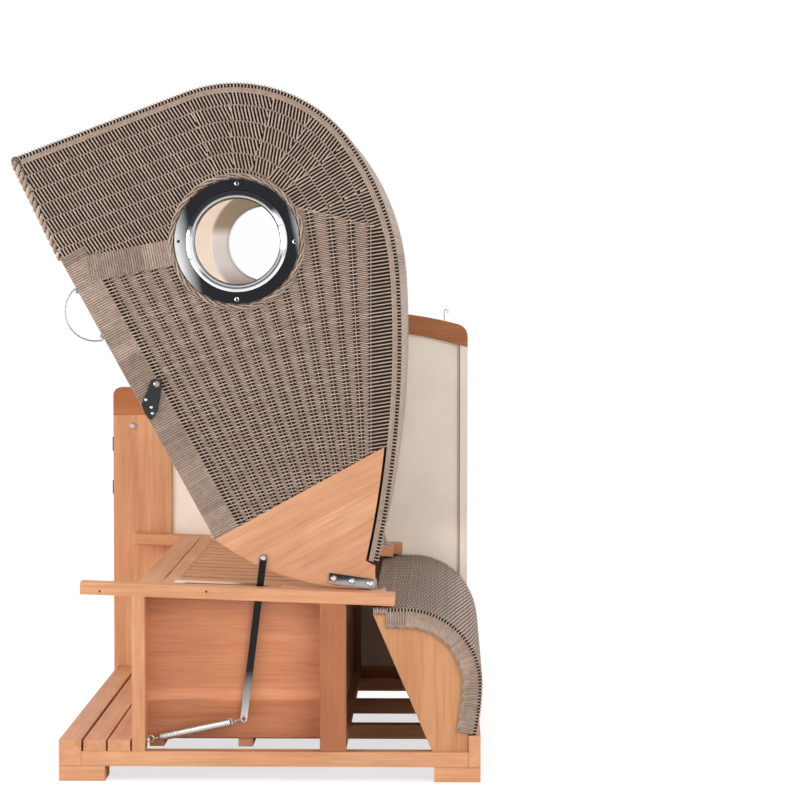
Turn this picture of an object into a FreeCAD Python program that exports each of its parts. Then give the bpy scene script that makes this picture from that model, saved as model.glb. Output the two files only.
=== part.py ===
"""Hooded wicker beach chair with its near side panel taken off.

Millimetres, +Z up, the front towards -Y, the open side towards +X.
The origin is on the floor, under the middle of the chair's box.
"""
import FreeCAD, Part
import math
import os
import re
import Sketcher

Vector = FreeCAD.Vector
LEFT = 1
RIGHT = -1

# Driving dimensions, in millimetres and degrees
SIZES = {
    # Whole frame
    "frame_width": 1200,
    "panel_thickness": 45,
    "fit_gap": 0.3,
    "cut_overrun": 1,
    "head_taper": 0.6,
    # Base
    "base_front": -423,
    "base_length": 954,
    "foot_height": 34,
    "foot_length": 105,
    "foot_width": 90,
    "runner_height": 34,
    "runner_width": 40,
    "front_board_depth": 51,
    "front_board_height": 60,
    "rear_board_depth": 27,
    "rear_board_height": 72,
    "front_slat_width": 51,
    "front_slat_gap": 4,
    "front_slat_thickness": 25,
    "under_slat_width": 34,
    "under_slat_thickness": 22,
    "under_slat_middle": 402,
    # Seat box
    "front_post_setback": 166,
    "front_post_width": 29,
    "rear_post_setback": 591,
    "rear_post_width": 59,
    "post_depth": 60,
    "board_thickness": 20,
    "lower_board_height": 110,
    # Battens and deck, measured along the slope from the battens' front ends
    "deck_setback": 49,
    "deck_height": 424,
    "seat_slope": 2,
    "batten_length": 711,
    "batten_depth": 44,
    "batten_thickness": 28,
    "panel_screw_setback": 94,
    "panel_screw_spacing": 241,
    "panel_screw_drop": 21,
    "panel_screw_radius": 2.5,
    "panel_screw_depth": 25,
    "deck_rail_start": 126,
    "deck_rail_width": 52,
    "deck_rear_start": 541,
    "side_rail_width": 76,
    "side_rail_length": 510,
    "lid_gap": 2,
    "lid_rail_width": 34,
    "lid_slat_gap": 20,
    "lid_slat_thickness": 20,
    "ledger_width": 20,
    "ledger_thickness": 20,
    "slot_start": 233,
    "slot_length": 190,
    "slot_width": 13,
    "plate_margin": 26,
    "plate_width": 56,
    "plate_thickness": 1.5,
    # Tilting hinge
    "pivot_y": 281,
    "pivot_rise": 15,
    "pin_radius": 5,
    "pin_clearance": 0.05,
    "pin_end": 2,
    "lug_radius": 14,
    "lug_thickness": 8,
    "lug_gap": 2,
    "lug_foot_length": 50,
    "lug_foot_width": 30,
    "lug_foot_thickness": 3,
    "heel_radius": 10,
    "heel_height": 41,
    "strap_length": 95,
    "strap_width": 23,
    "strap_thickness": 4,
    "strap_tilt": 8,
    "strap_screw_spacing": 42,
    "bolt_head_radius": 7,
    "bolt_head_height": 3.5,
    # Hood outline, from the tip of the roof round to the foot of the back
    "hood_setback": 60,
    "tip_y": -534,
    "tip_rise": 959,
    "front_bar_radius": 9,
    "front_bar_drop": 6,
    "roof_pitch": 20.9,
    "roof_run": 404,
    "crown_radius": 322,
    "crown_turn": 74.3,
    "shoulder_radius": 573,
    "shoulder_turn": 33,
    "back_radius": 2335,
    "upper_back_turn": 9.52,
    "lower_back_turn": 6.5,
    "shell_thickness": 10,
    "lining_thickness": 8,
    "cheek_thickness": 14,
    "cheek_lining_thickness": 6,
    "rim_lean": 28.8,
    "rim_length": 726,
    "rim_width": 60,
    "rim_thickness": 28,
    "rim_proud": 4,
    "quarter_top": 438,
    "quarter_inset": 26,
    "edge_band": 20,
    "edge_band_thickness": 4,
    "quarter_setback": 52,
    "quarter_thickness": 24,
    "quarter_foot_radius": 560,
    "back_rail_gap": 1,
    "back_rail_depth": 28,
    "back_rail_height": 50,
    "band_drop": 26,
    "band_width": 58,
    "band_length": 172,
    "band_pitch": 11,
    "band_thickness": 3,
    # Portholes
    "porthole_y": -22,
    "porthole_rise": 775,
    "porthole_radius": 100.5,
    "porthole_wall": 3.5,
    "flange_radius": 143.5,
    "flange_thickness": 5,
    "flange_edge": 2.5,
    "bead_width": 13.5,
    "bead_crest": 8.5,
    "bead_height": 3.5,
    "inner_lip": 4,
    "inner_flange_thickness": 4,
    "pane_thickness": 4,
    "porthole_screw_circle": 131,
    "porthole_screw_radius": 5,
    "porthole_screw_height": 2.4,
    # Counterbalance
    "lever_top_y": 38,
    "lever_top_rise": 58,
    "lever_length": 369.7,
    "lever_lean": 7,
    "lever_width": 16,
    "lever_thickness": 5,
    "lever_hole": 4,
    "eye_setback": 9.5,
    "eye_height": 90.5,
    "eye_ring": 7.5,
    "eye_wire": 2,
    "eye_shank": 20,
    "spring_radius": 8.4,
    "spring_wire": 2.6,
    "spring_head_reach": 27,
    "spring_tail_reach": 28,
    "spring_end": 6,
    "plug_length": 4,
    "hook_wire": 3,
    "hook_bow": 5,
    "tail_gap": 0.5,
    "tail_eye": 6,
    # Latches
    "latch_drop": 353,
    "latch_inset": 55,
    "latch_gap": 1.5,
    "latch_thickness": 5,
    "latch_pin_radius": 4,
    # Bails
    "bail_drop": 140.5,
    "bail_radius": 68,
    "bail_splay": 16,
    "bail_wire": 3.6,
    "bail_bend": 4,
    "bail_pin": 9,
    "bail_lug_size": 7,
    "bail_lug_length": 7,
    # Far side panel
    "panel_front": 9,
    "stile_width": 154,
    "rear_stile_width": 20,
    "arm_height": 837,
    "arm_rail_depth": 73,
    "arm_length": 182,
    "rise_radius": 328,
    "rise_turn": 46.3,
    "crest_radius": 1005,
    "crest_turn": 15,
    "panel_corner": 33,
    "front_corner": 20,
    "crest_rail_depth": 48,
    "inner_arm_length": 202,
    "inner_rise_turn": 54.3,
    "inner_crest_radius": 943,
    "bottom_rail_height": 60,
    "panel_lining_inset": 6,
    "panel_lining_thickness": 8,
    "panel_weave_inset": 6,
    "panel_weave_thickness": 10,
    "cap_bolt_setback": 51,
    "cap_bolt_drop": 29,
    "cap_bolt_radius": 10,
    "cap_bolt_height": 5,
    "edge_plate_low": 211,
    "edge_plate_high": 96,
    "edge_plate_height": 37,
    "edge_plate_width": 34,
    "edge_plate_thickness": 3,
    "hanger_setback": 62,
    "hanger_height": 32,
    "hanger_bow": 5,
    "hanger_wire": 3,
    "hanger_depth": 12,
    # Woven skirt behind the seat
    "skirt_front": 287,
    "skirt_run": 75.45,
    "skirt_gap": 6.2,
    "skirt_tuck_radius": 520,
    "skirt_tuck_turn": 13,
    "skirt_thickness": 12,
    "skirt_band": 42,
    "skirt_band_thickness": 5,
    "skirt_band_start": 31,
    "skirt_inset": 4,
    "bracket_thickness": 18,
    "bracket_foot": 422,
}

# Places that follow from the driving dimensions
PLACES = {
    "centre_x": "panel_thickness / 2",
    "near_face": "centre_x + frame_width / 2",
    "far_face": "centre_x - frame_width / 2",
    "runner_top": "foot_height + runner_height",
    "base_rear": "base_front + base_length",
    "runner_front": "base_front + front_board_depth",
    "runner_rear": "base_rear - rear_board_depth",
    "rear_board_top": "foot_height + rear_board_height",
    "front_post_y": "base_front + front_post_setback",
    "front_post_rear": "front_post_y + front_post_width",
    "rear_post_y": "base_front + rear_post_setback",
    "post_inner": "near_face - post_depth",
    "box_floor": "runner_top + under_slat_thickness",
    "deck_y": "base_front + deck_setback",
    "batten_inner": "near_face - batten_depth",
    "rail_inner": "batten_inner - side_rail_width",
    "rail_start": "deck_rail_start + deck_rail_width",
    "pivot_seat": "deck_height - (pivot_y - deck_y) * tan(seat_slope) + batten_thickness / cos(seat_slope)",
    "pivot_z": "pivot_seat + pivot_rise",
    "tip_z": "pivot_z + tip_rise",
    "porthole_z": "pivot_z + porthole_rise",
    "lever_top_z": "pivot_z + lever_top_rise",
    "hood_face": "near_face - hood_setback",
    "quarter_face": "near_face - quarter_setback",
    "quarter_inner": "quarter_face - quarter_thickness",
    "lug_face": "quarter_inner - lug_gap",
    "lining_face": "hood_face - cheek_thickness",
    "lining_inner": "lining_face - cheek_lining_thickness",
    "rim_face": "hood_face + rim_proud",
    "rim_middle": "rim_face - rim_thickness / 2",
    "lever_face": "quarter_face + lever_thickness",
    "lever_foot_y": "lever_top_y - lever_length * sin(lever_lean)",
    "lever_foot_z": "lever_top_z - lever_length * cos(lever_lean)",
    "eye_y": "front_post_rear + eye_setback",
    "spring_x": "lever_face + tail_gap + spring_radius + spring_wire / 2",
    "panel_front_y": "base_front - panel_front",
    "crest_y": "panel_front_y + arm_length + 2 * rise_radius * sin(rise_turn)",
    "crest_z": "arm_height + 2 * rise_radius * (1 - cos(rise_turn))",
    "crest_end_z": "crest_z - crest_radius * (1 - cos(crest_turn))",
    "panel_rear_y": "crest_y + crest_radius * sin(crest_turn) + panel_corner * (1 - sin(crest_turn))",
    "arm_underside": "arm_height - arm_rail_depth",
    "inner_crest_z": "crest_z - crest_rail_depth",
    "inner_rise_radius": "(inner_crest_z - arm_underside) / (2 * (1 - cos(inner_rise_turn)))",
    "inner_crest_y": "panel_front_y + inner_arm_length + 2 * inner_rise_radius * sin(inner_rise_turn)",
    "panel_outer": "far_face - panel_thickness",
    "skirt_top": "deck_height - batten_length * sin(seat_slope) - skirt_gap",
    "skirt_radius": "skirt_top - rear_board_top - skirt_tuck_radius * sin(skirt_tuck_turn)",
    "skirt_face": "near_face - skirt_inset",
    "bracket_face": "skirt_face - skirt_band_thickness",
    "bail_inner": "(bail_radius - bail_bend) * cos(bail_splay)",
}

# The catch plate's corners about its pivot
LATCH_OUTLINE = [("-11", "11"), ("-27", "-29"), ("-35", "-48"), ("-26", "-68"), ("-17", "-81"), ("-10", "-80"),
                 ("3", "-59"), ("11", "-10"), ("12", "11")]
LID_SLATS = 13
RUNNERS = 4
SPRING_TURNS = 46
LEAST_SELF_GAP = 0.4
GAP_POINTS = 7
GAP_WINDOW = 60
GAP_APART = 4


# The document and its sheet of dimensions
doc = FreeCAD.newDocument("beach_chair")
sheet = doc.addObject("Spreadsheet::Sheet", "Dims")
for row, (alias, size) in enumerate(SIZES.items(), start=1):
    sheet.set(f"A{row}", alias)
    sheet.set(f"B{row}", str(size))
    sheet.setAlias(f"B{row}", alias)
doc.recompute()

NAME = re.compile(r"[a-z]+(?:_[a-z]+)+")
sub_parts = []


def formula(text):
    """Write a formula of named sizes and places as an expression on the sheet."""
    def place(match):
        name = match.group(0)
        if name in SIZES:
            return "Dims." + name
        return "(" + formula(PLACES[name]) + ")"
    return NAME.sub(place, str(text))


def value(text):
    """Work a formula out as a number."""
    result = sheet.evalExpression(formula(text))
    return float(getattr(result, "Value", result))


def bind(thing, **formulas):
    """Tie properties to formulas; a double underscore stands for a dot."""
    for name, text in formulas.items():
        thing.setExpression(name.replace("__", "."), formula(text))


def place(thing, x, y, z, turn=None):
    """Tie a thing's corner or centre to formulas, turned about X by an angle if one is given."""
    thing.Placement = FreeCAD.Placement(Vector(), FreeCAD.Rotation(Vector(1, 0, 0), 0))
    bind(thing, Placement__Base__x=x, Placement__Base__y=y, Placement__Base__z=z)
    if turn is not None:
        bind(thing, Placement__Rotation__Angle=turn)
    return thing


def keep(label, thing):
    """Give a finished sub-part its name."""
    thing.Label = label
    sub_parts.append(thing)
    return thing


def plank(name, x, y, z, size_x, size_y, size_z, turn=None):
    """A squared board from its lowest corner."""
    box = doc.addObject("Part::Box", name)
    bind(box, Length=size_x, Width=size_y, Height=size_z)
    return place(box, x, y, z, turn)


def deck_point(along, up):
    """A point of the sloping deck, along it from the battens' front ends and up from their undersides."""
    y = f"(deck_y + ({along}) * cos(seat_slope) + ({up}) * sin(seat_slope))"
    z = f"(deck_height - ({along}) * sin(seat_slope) + ({up}) * cos(seat_slope))"
    return y, z


def deck_plank(name, x, along, up, size_x, size_along, size_up):
    """A board that lies in the slope of the deck."""
    y, z = deck_point(along, up)
    return plank(name, x, y, z, size_x, size_along, size_up, "-seat_slope")


def deck_underside(y):
    """Height of the deck's underside over a place on the floor."""
    return f"(deck_height - (({y}) - deck_y) * tan(seat_slope))"


def deck_top(y):
    """Height of the deck's upper face over a place on the floor."""
    return f"({deck_underside(y)} + batten_thickness / cos(seat_slope))"


def cylinder(name, x, y, z, radius, length):
    """A round bar along X, from its lowest X."""
    bar = doc.addObject("Part::Cylinder", name)
    bar.Placement = FreeCAD.Placement(Vector(), FreeCAD.Rotation(Vector(0, 1, 0), 90))
    bind(bar, Radius=radius, Height=length)
    bind(bar, Placement__Base__x=x, Placement__Base__y=y, Placement__Base__z=z)
    return bar


def cut(name, base, tool):
    """One solid less another."""
    result = doc.addObject("Part::Cut", name)
    result.Base = base
    result.Tool = tool
    return result


def fuse(name, *solids):
    """Several solids made into one piece."""
    result = doc.addObject("Part::MultiFuse", name)
    result.Shapes = list(solids)
    return result


def group(name, *solids):
    """Separate solids that share a name."""
    result = doc.addObject("Part::Compound", name)
    result.Links = list(solids)
    return result


def mirrored(name, source):
    """The twin of a near piece on the far side of the middle plane."""
    twin = doc.addObject("Part::Mirroring", name)
    twin.Source = source
    twin.Normal = (1, 0, 0)
    bind(twin, Base__x="centre_x")
    return twin


def both_sides(label, *sources):
    """Near pieces and their far twins under one name."""
    twins = [mirrored(f"{label}_twin_{n}", source) for n, source in enumerate(sources)]
    return keep(label, group(f"{label}_pair", *sources, *twins))


def sketch_on(body, role):
    """A new sketch on one of the body's own planes."""
    sketch = body.newObject("Sketcher::SketchObject", body.Name + "_sketch")
    plane = [feature for feature in body.Origin.OriginFeatures if feature.Role == role][0]
    sketch.AttachmentSupport = [(plane, "")]
    sketch.MapMode = "FlatFace"
    return sketch


def tie(sketch, constraint, text):
    """Add a dimension to a sketch and tie it to a formula."""
    index = sketch.addConstraint(constraint)
    sketch.setExpression(f"Constraints[{index}]", formula(text))


def arc_through(start, end, radius, side):
    """An arc of under half a circle between two points, bending left or right."""
    chord = end - start
    half = chord.Length / 2
    sagitta = radius - math.sqrt(max(radius * radius - half * half, 0))
    bulge = Vector(chord.y, -chord.x, 0).normalize() * sagitta * side
    return Part.Arc(start, (start + end) / 2 + bulge, end)


def draw_outline(sketch, corners):
    """Draw a closed outline of (y, z) corners; a third entry bends the run to the next corner."""
    points = [Vector(value(corner[0]), value(corner[1]), 0) for corner in corners]
    ends = []
    for index, corner in enumerate(corners):
        start = points[index]
        end = points[(index + 1) % len(points)]
        if len(corner) > 2:
            radius, side = corner[2]
            run = sketch.addGeometry(arc_through(start, end, value(radius), side))
            tie(sketch, Sketcher.Constraint("Radius", run, value(radius)), radius)
        else:
            run = sketch.addGeometry(Part.LineSegment(start, end))
        first = 1 if sketch.getPoint(run, 1).distanceToPoint(start) < 1e-6 else 2
        ends.append((run, first, 3 - first))
    for index, corner in enumerate(corners):
        run, first, _ = ends[index]
        before, _, last = ends[index - 1]
        sketch.addConstraint(Sketcher.Constraint("Coincident", before, last, run, first))
        tie(sketch, Sketcher.Constraint("DistanceX", -1, 1, run, first, points[index].x), corner[0])
        tie(sketch, Sketcher.Constraint("DistanceY", -1, 1, run, first, points[index].y), corner[1])


def draw_hole(sketch, y, z, radius):
    """A round hole in a sketch."""
    circle = Part.Circle(Vector(value(y), value(z), 0), Vector(0, 0, 1), value(radius))
    hole = sketch.addGeometry(circle)
    tie(sketch, Sketcher.Constraint("DistanceX", -1, 1, hole, 3, value(y)), y)
    tie(sketch, Sketcher.Constraint("DistanceY", -1, 1, hole, 3, value(z)), z)
    tie(sketch, Sketcher.Constraint("Radius", hole, value(radius)), radius)


def plate(name, corners, x, thickness, holes=()):
    """A plate in the side plane, padded towards +X from x."""
    body = doc.addObject("PartDesign::Body", name)
    sketch = sketch_on(body, "YZ_Plane")
    draw_outline(sketch, corners)
    for hole in holes:
        draw_hole(sketch, *hole)
    pad = body.newObject("PartDesign::Pad", name + "_pad")
    pad.Profile = sketch
    bind(pad, Length=thickness)
    bind(body, Placement__Base__x=x)
    return body


def turned(name, profile, x, y, z):
    """A piece turned about an axis along X, from a profile of (along, radius) corners."""
    body = doc.addObject("PartDesign::Body", name)
    sketch = sketch_on(body, "XY_Plane")
    draw_outline(sketch, profile)
    spin = body.newObject("PartDesign::Revolution", name + "_spin")
    spin.Profile = sketch
    spin.ReferenceAxis = (sketch, ["H_Axis"])
    spin.Angle = 360
    return place(body, x, y, z)


def dome(name, x, y, z, radius, height):
    """A round bolt head that stands on a face at x and looks towards +X."""
    head = doc.addObject("Part::Cone", name)
    head.Placement = FreeCAD.Placement(Vector(), FreeCAD.Rotation(Vector(0, 1, 0), 90))
    bind(head, Radius1=radius, Radius2=f"{radius} * head_taper", Height=height)
    bind(head, Placement__Base__x=x, Placement__Base__y=y, Placement__Base__z=z)
    return head


def solid_feature(name, shape, placement):
    """A piece whose shape is swept along a path."""
    feature = doc.addObject("Part::Feature", name)
    feature.Shape = shape
    feature.Placement = placement
    return feature


def sweep(edges, radius):
    """A round wire along tangent edges."""
    path = Part.Wire(edges)
    start = edges[0].valueAt(edges[0].FirstParameter)
    along = edges[0].tangentAt(edges[0].FirstParameter)
    section = Part.Wire([Part.makeCircle(radius, start, along)])
    return path.makePipeShell([section], True, False)


class Course:
    """A run of straights and right-hand bends, kept as formulas for its corners."""

    def __init__(self, y, z, heading, inset="0"):
        self.heading = heading
        self.inset = inset
        self.y = f"({y} + ({inset}) * sin({heading}))"
        self.z = f"({z} - ({inset}) * cos({heading}))"
        self.corners = []

    def straight(self, length):
        self.corners.append((self.y, self.z))
        self.y = f"({self.y} + ({length}) * cos({self.heading}))"
        self.z = f"({self.z} + ({length}) * sin({self.heading}))"
        return self

    def bend(self, radius, turn):
        radius = f"({radius} - ({self.inset}))"
        onward = f"({self.heading} - {turn})"
        self.corners.append((self.y, self.z, (radius, RIGHT)))
        self.y = f"({self.y} + {radius} * (sin({self.heading}) - sin({onward})))"
        self.z = f"({self.z} + {radius} * (cos({onward}) - cos({self.heading})))"
        self.heading = onward
        return self

    def end(self):
        return self.y, self.z


def reversed_run(course):
    """The corners of a course from its end back to its start, with its bends turned round."""
    corners = [course.end()]
    for corner in reversed(course.corners):
        if len(corner) > 2:
            corners[-1] = (*corners[-1], (corner[2][0], LEFT))
        corners.append((corner[0], corner[1]))
    return corners


def band_between(outer, inner):
    """The closed outline between two courses."""
    return outer.corners + [outer.end()] + reversed_run(inner)


def hood_course(inset, whole=True):
    """The hood's outline from the roof's front edge, down to the quarter panels or to the foot of the back."""
    bar = "2 * front_bar_radius"
    y = f"(tip_y + {bar} * cos(roof_pitch))"
    z = f"(tip_z + {bar} * sin(roof_pitch))"
    course = Course(y, z, "roof_pitch", inset)
    course.straight("roof_run")
    course.bend("crown_radius", "crown_turn")
    course.bend("shoulder_radius", "shoulder_turn")
    course.bend("back_radius", "upper_back_turn")
    if whole:
        course.bend("back_radius", "lower_back_turn")
    return course


def skirt_course(inset, late="0"):
    """The skirt's outline from under the deck round to the rear board; it may begin late."""
    course = Course(f"(skirt_front + {late})", "skirt_top", "0", inset)
    course.straight(f"skirt_run - {late}")
    course.bend("skirt_radius", "90")
    course.bend("skirt_tuck_radius", "skirt_tuck_turn")
    return course


def base():
    """Feet, runners, boards and floor slats."""
    feet = []
    for end, y in (("front", "base_front"), ("rear", "base_rear - foot_length")):
        feet.append(plank(f"foot_{end}", "near_face - foot_width", y, 0, "foot_width", "foot_length",
                          "foot_height"))
    both_sides("feet", *feet)
    runners = []
    for number in range(RUNNERS):
        x = f"far_face + (frame_width - runner_width) * {number} / {RUNNERS - 1}"
        runners.append(plank(f"runner_{number}", x, "runner_front", "foot_height", "runner_width",
                             "runner_rear - runner_front", "runner_height"))
    keep("runners", group("runner_set", *runners))
    keep("front_board", plank("front_plank", "far_face", "base_front", "foot_height", "frame_width",
                              "front_board_depth", "front_board_height"))
    keep("rear_board", plank("rear_plank", "far_face", "runner_rear", "foot_height", "frame_width",
                             "rear_board_depth", "rear_board_height"))
    slats = []
    for number in (1, 2):
        y = f"front_post_y - {number} * (front_slat_width + front_slat_gap)"
        slats.append(plank(f"front_slat_{number}", "far_face", y, "runner_top", "frame_width",
                           "front_slat_width", "front_slat_thickness"))
    inside = "frame_width - 2 * (post_depth + board_thickness / 2)"
    rear = "rear_post_y + rear_post_width - under_slat_width"
    for number, y in enumerate(("front_post_rear + front_slat_gap", "base_front + under_slat_middle", rear)):
        x = "far_face + post_depth + board_thickness / 2"
        slats.append(plank(f"under_slat_{number}", x, y, "runner_top", inside, "under_slat_width",
                           "under_slat_thickness"))
    keep("floor_slats", group("floor_slat_set", *slats))


def seat_box():
    """Posts, boards and end panels of the box under the seat."""
    def under_deck(front, rear, foot):
        return [(front, foot), (rear, foot), (rear, deck_underside(rear)), (front, deck_underside(front))]

    front_post = plate("front_post", under_deck("front_post_y", "front_post_rear", "runner_top"),
                       "post_inner", "post_depth")
    shank = along_y("eye_hole", "spring_x", "front_post_rear", "eye_height", "eye_wire", "eye_shank")
    both_sides("front_posts", cut("front_post_drilled", front_post, shank))
    rear_end = "rear_post_y + rear_post_width"
    both_sides("rear_posts", plate("rear_post", under_deck("rear_post_y", rear_end, "runner_top"),
                                   "post_inner", "post_depth"))
    board_front = "front_post_y + board_thickness"
    board_rear = "rear_post_y + board_thickness"
    lower = plank("lower_board", "post_inner - board_thickness", board_front, "box_floor", "board_thickness",
                  f"{board_rear} - ({board_front})", "lower_board_height")
    upper = plate("upper_board", under_deck(board_front, board_rear, "box_floor + lower_board_height"),
                  "post_inner - board_thickness", "board_thickness")
    both_sides("side_boards", lower, upper)
    across = "2 * (post_inner - centre_x)"
    for label, front in (("seat_front_panel", "front_post_y"), ("seat_rear_panel", board_rear)):
        rear = f"{front} + board_thickness"
        keep(label, plate(label + "_board", under_deck(front, rear, "box_floor"), "2 * centre_x - post_inner",
                          across))


def deck():
    """Battens, rails, slatted lid and the plates round the lever slots."""
    blank = deck_plank("near_batten_blank", "batten_inner", "0", "0", "batten_depth", "batten_length",
                       "batten_thickness")
    drills = []
    for number in range(2):
        y = f"base_front + panel_screw_setback + {number} * panel_screw_spacing"
        drills.append(cylinder(f"panel_screw_hole_{number}", "near_face - panel_screw_depth", y,
                               "deck_height + batten_thickness - panel_screw_drop", "panel_screw_radius",
                               "panel_screw_depth + cut_overrun"))
    keep("near_batten", cut("near_batten_drilled", blank, group("panel_screw_holes", *drills)))
    keep("far_batten", mirrored("far_batten_blank", blank))

    between = "2 * (batten_inner - centre_x)"
    front = deck_plank("deck_front_plank", "2 * centre_x - batten_inner", "deck_rail_start", "0", between,
                       "deck_rail_width", "batten_thickness")
    keep("deck_front_rail", front)
    rail = deck_plank("side_rail_blank", "rail_inner", "rail_start", "0", "side_rail_width", "side_rail_length",
                      "batten_thickness")
    slot = deck_plank("lever_slot", "batten_inner - slot_width", "slot_start", "-cut_overrun",
                      "slot_width + cut_overrun", "slot_length", "batten_thickness + 2 * cut_overrun")
    both_sides("deck_side_rails", cut("side_rail", rail, slot))
    inside = "2 * (rail_inner - centre_x)"
    rear = deck_plank("deck_rear_plank", "2 * centre_x - rail_inner", "deck_rear_start", "0", inside,
                      "deck_rail_width", "batten_thickness")
    keep("deck_rear_rail", rear)

    lid_start = "rail_start + lid_gap"
    lid_end = "deck_rear_start - lid_gap"
    lid_width = f"({inside} - 2 * lid_gap)"
    lid_x = "2 * centre_x - rail_inner + lid_gap"
    rails = []
    for number, along in enumerate((lid_start, f"{lid_end} - lid_rail_width")):
        rails.append(deck_plank(f"lid_rail_{number}", lid_x, along, "0", lid_width, "lid_rail_width",
                                "batten_thickness"))
    keep("lid_rails", group("lid_rail_set", *rails))
    slat_width = f"(({lid_width} - {LID_SLATS - 1} * lid_slat_gap) / {LID_SLATS})"
    slats = []
    for number in range(LID_SLATS):
        x = f"{lid_x} + {number} * ({slat_width} + lid_slat_gap)"
        slats.append(deck_plank(f"lid_slat_{number}", x, f"{lid_start} + lid_rail_width",
                                "batten_thickness - lid_slat_thickness", slat_width,
                                f"{lid_end} - ({lid_start}) - 2 * lid_rail_width", "lid_slat_thickness"))
    keep("lid_slats", group("lid_slat_set", *slats))
    both_sides("lid_ledgers", deck_plank("lid_ledger", "rail_inner - ledger_width / 2", "rail_start",
                                         "-ledger_thickness", "ledger_width", "deck_rear_start - (rail_start)",
                                         "ledger_thickness"))
    sheet_blank = deck_plank("slot_sheet", "batten_inner - plate_width", "slot_start - plate_margin",
                             "batten_thickness", "plate_width - fit_gap", "slot_length + 2 * plate_margin",
                             "plate_thickness")
    opening = deck_plank("sheet_slot", "batten_inner - slot_width", "slot_start",
                         "batten_thickness - cut_overrun", "slot_width + cut_overrun", "slot_length",
                         "plate_thickness + 2 * cut_overrun")
    both_sides("slot_plates", cut("slot_plate", sheet_blank, opening))


def hinge():
    """Lugs on the deck, and the hood's straps, pins and bolts."""
    front = "(pivot_y - lug_radius)"
    rear = "(pivot_y + lug_radius)"
    corners = [(front, deck_top(front)), (rear, deck_top(rear)), (rear, "pivot_z", ("lug_radius", LEFT)),
               ("pivot_y", "pivot_z + lug_radius", ("lug_radius", LEFT)), (front, "pivot_z")]
    bore = ("pivot_y", "pivot_z", "pin_radius + pin_clearance")
    ear = plate("pivot_ear", corners, "lug_face - lug_thickness", "lug_thickness", [bore])
    foot_along = "(pivot_y - deck_y) / cos(seat_slope) - lug_foot_length / 2"
    foot = deck_plank("pivot_foot", "lug_face - lug_thickness - lug_foot_width", foot_along, "batten_thickness",
                      "lug_foot_width + lug_thickness / 2", "lug_foot_length", "lug_foot_thickness")
    both_sides("pivot_lugs", fuse("pivot_lug", ear, foot))

    half = "strap_width / 2"
    sides = [("-strap_length", f"-{half}"), ("0", f"-{half}", (half, LEFT)), (half, "0", (half, LEFT)),
             ("0", half), ("-strap_length", half)]
    hole = ("0", "0", "pin_radius + pin_clearance")
    strap = plate("pivot_strap", sides, "quarter_face", "strap_thickness", [hole])
    place(strap, "quarter_face", "pivot_y", "pivot_z", "-strap_tilt")
    both_sides("pivot_straps", strap)
    head = "quarter_face + strap_thickness"
    tail = "lug_face - lug_thickness - pin_end"
    pin = cylinder("pin_shank", tail, "pivot_y", "pivot_z", "pin_radius", f"{head} - ({tail})")
    cap = dome("pin_cap", head, "pivot_y", "pivot_z", "bolt_head_radius", "bolt_head_height")
    both_sides("pivot_pins", fuse("pivot_pin", pin, cap))
    bolts = []
    for number in (1, 2):
        y = f"pivot_y - {number} * strap_screw_spacing * cos(strap_tilt)"
        z = f"pivot_z + {number} * strap_screw_spacing * sin(strap_tilt)"
        bolts.append(dome(f"strap_bolt_{number}", head, y, z, "bolt_head_radius", "bolt_head_height"))
    bolts.append(dome("lever_bolt", "lever_face", "lever_top_y", "lever_top_z", "bolt_head_radius",
                      "bolt_head_height"))
    both_sides("hood_bolts", *bolts)


def rim_point(down, inward):
    """A point of a front rim, down it from its upper front corner and inward from its front edge."""
    y, z = quarter_tip()
    y = f"({y} - (rim_length - ({down})) * sin(rim_lean) + ({inward}) * cos(rim_lean))"
    z = f"({z} + (rim_length - ({down})) * cos(rim_lean) + ({inward}) * sin(rim_lean))"
    return y, z


def quarter_tip():
    """The front tip of the quarter panels, where the front rims end."""
    y, z = hood_course("quarter_inset", whole=False).end()
    return f"({y} - quarter_top * cos(rim_lean))", f"({z} - quarter_top * sin(rim_lean))"


def cheek_outline(inset):
    """A cheek inside the roof shell, behind the front rim and above the quarter panel."""
    course = hood_course(inset, whole=False)
    corner_y, corner_z = hood_course("quarter_inset", whole=False).end()
    foot = (f"({corner_y} - (quarter_top - rim_width) * cos(rim_lean))",
            f"({corner_z} - (quarter_top - rim_width) * sin(rim_lean))")
    below = [course.end(), (corner_y, corner_z), foot]
    return course.corners + below + [rim_point("0", "rim_width"), rim_point("0", "0")]


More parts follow.
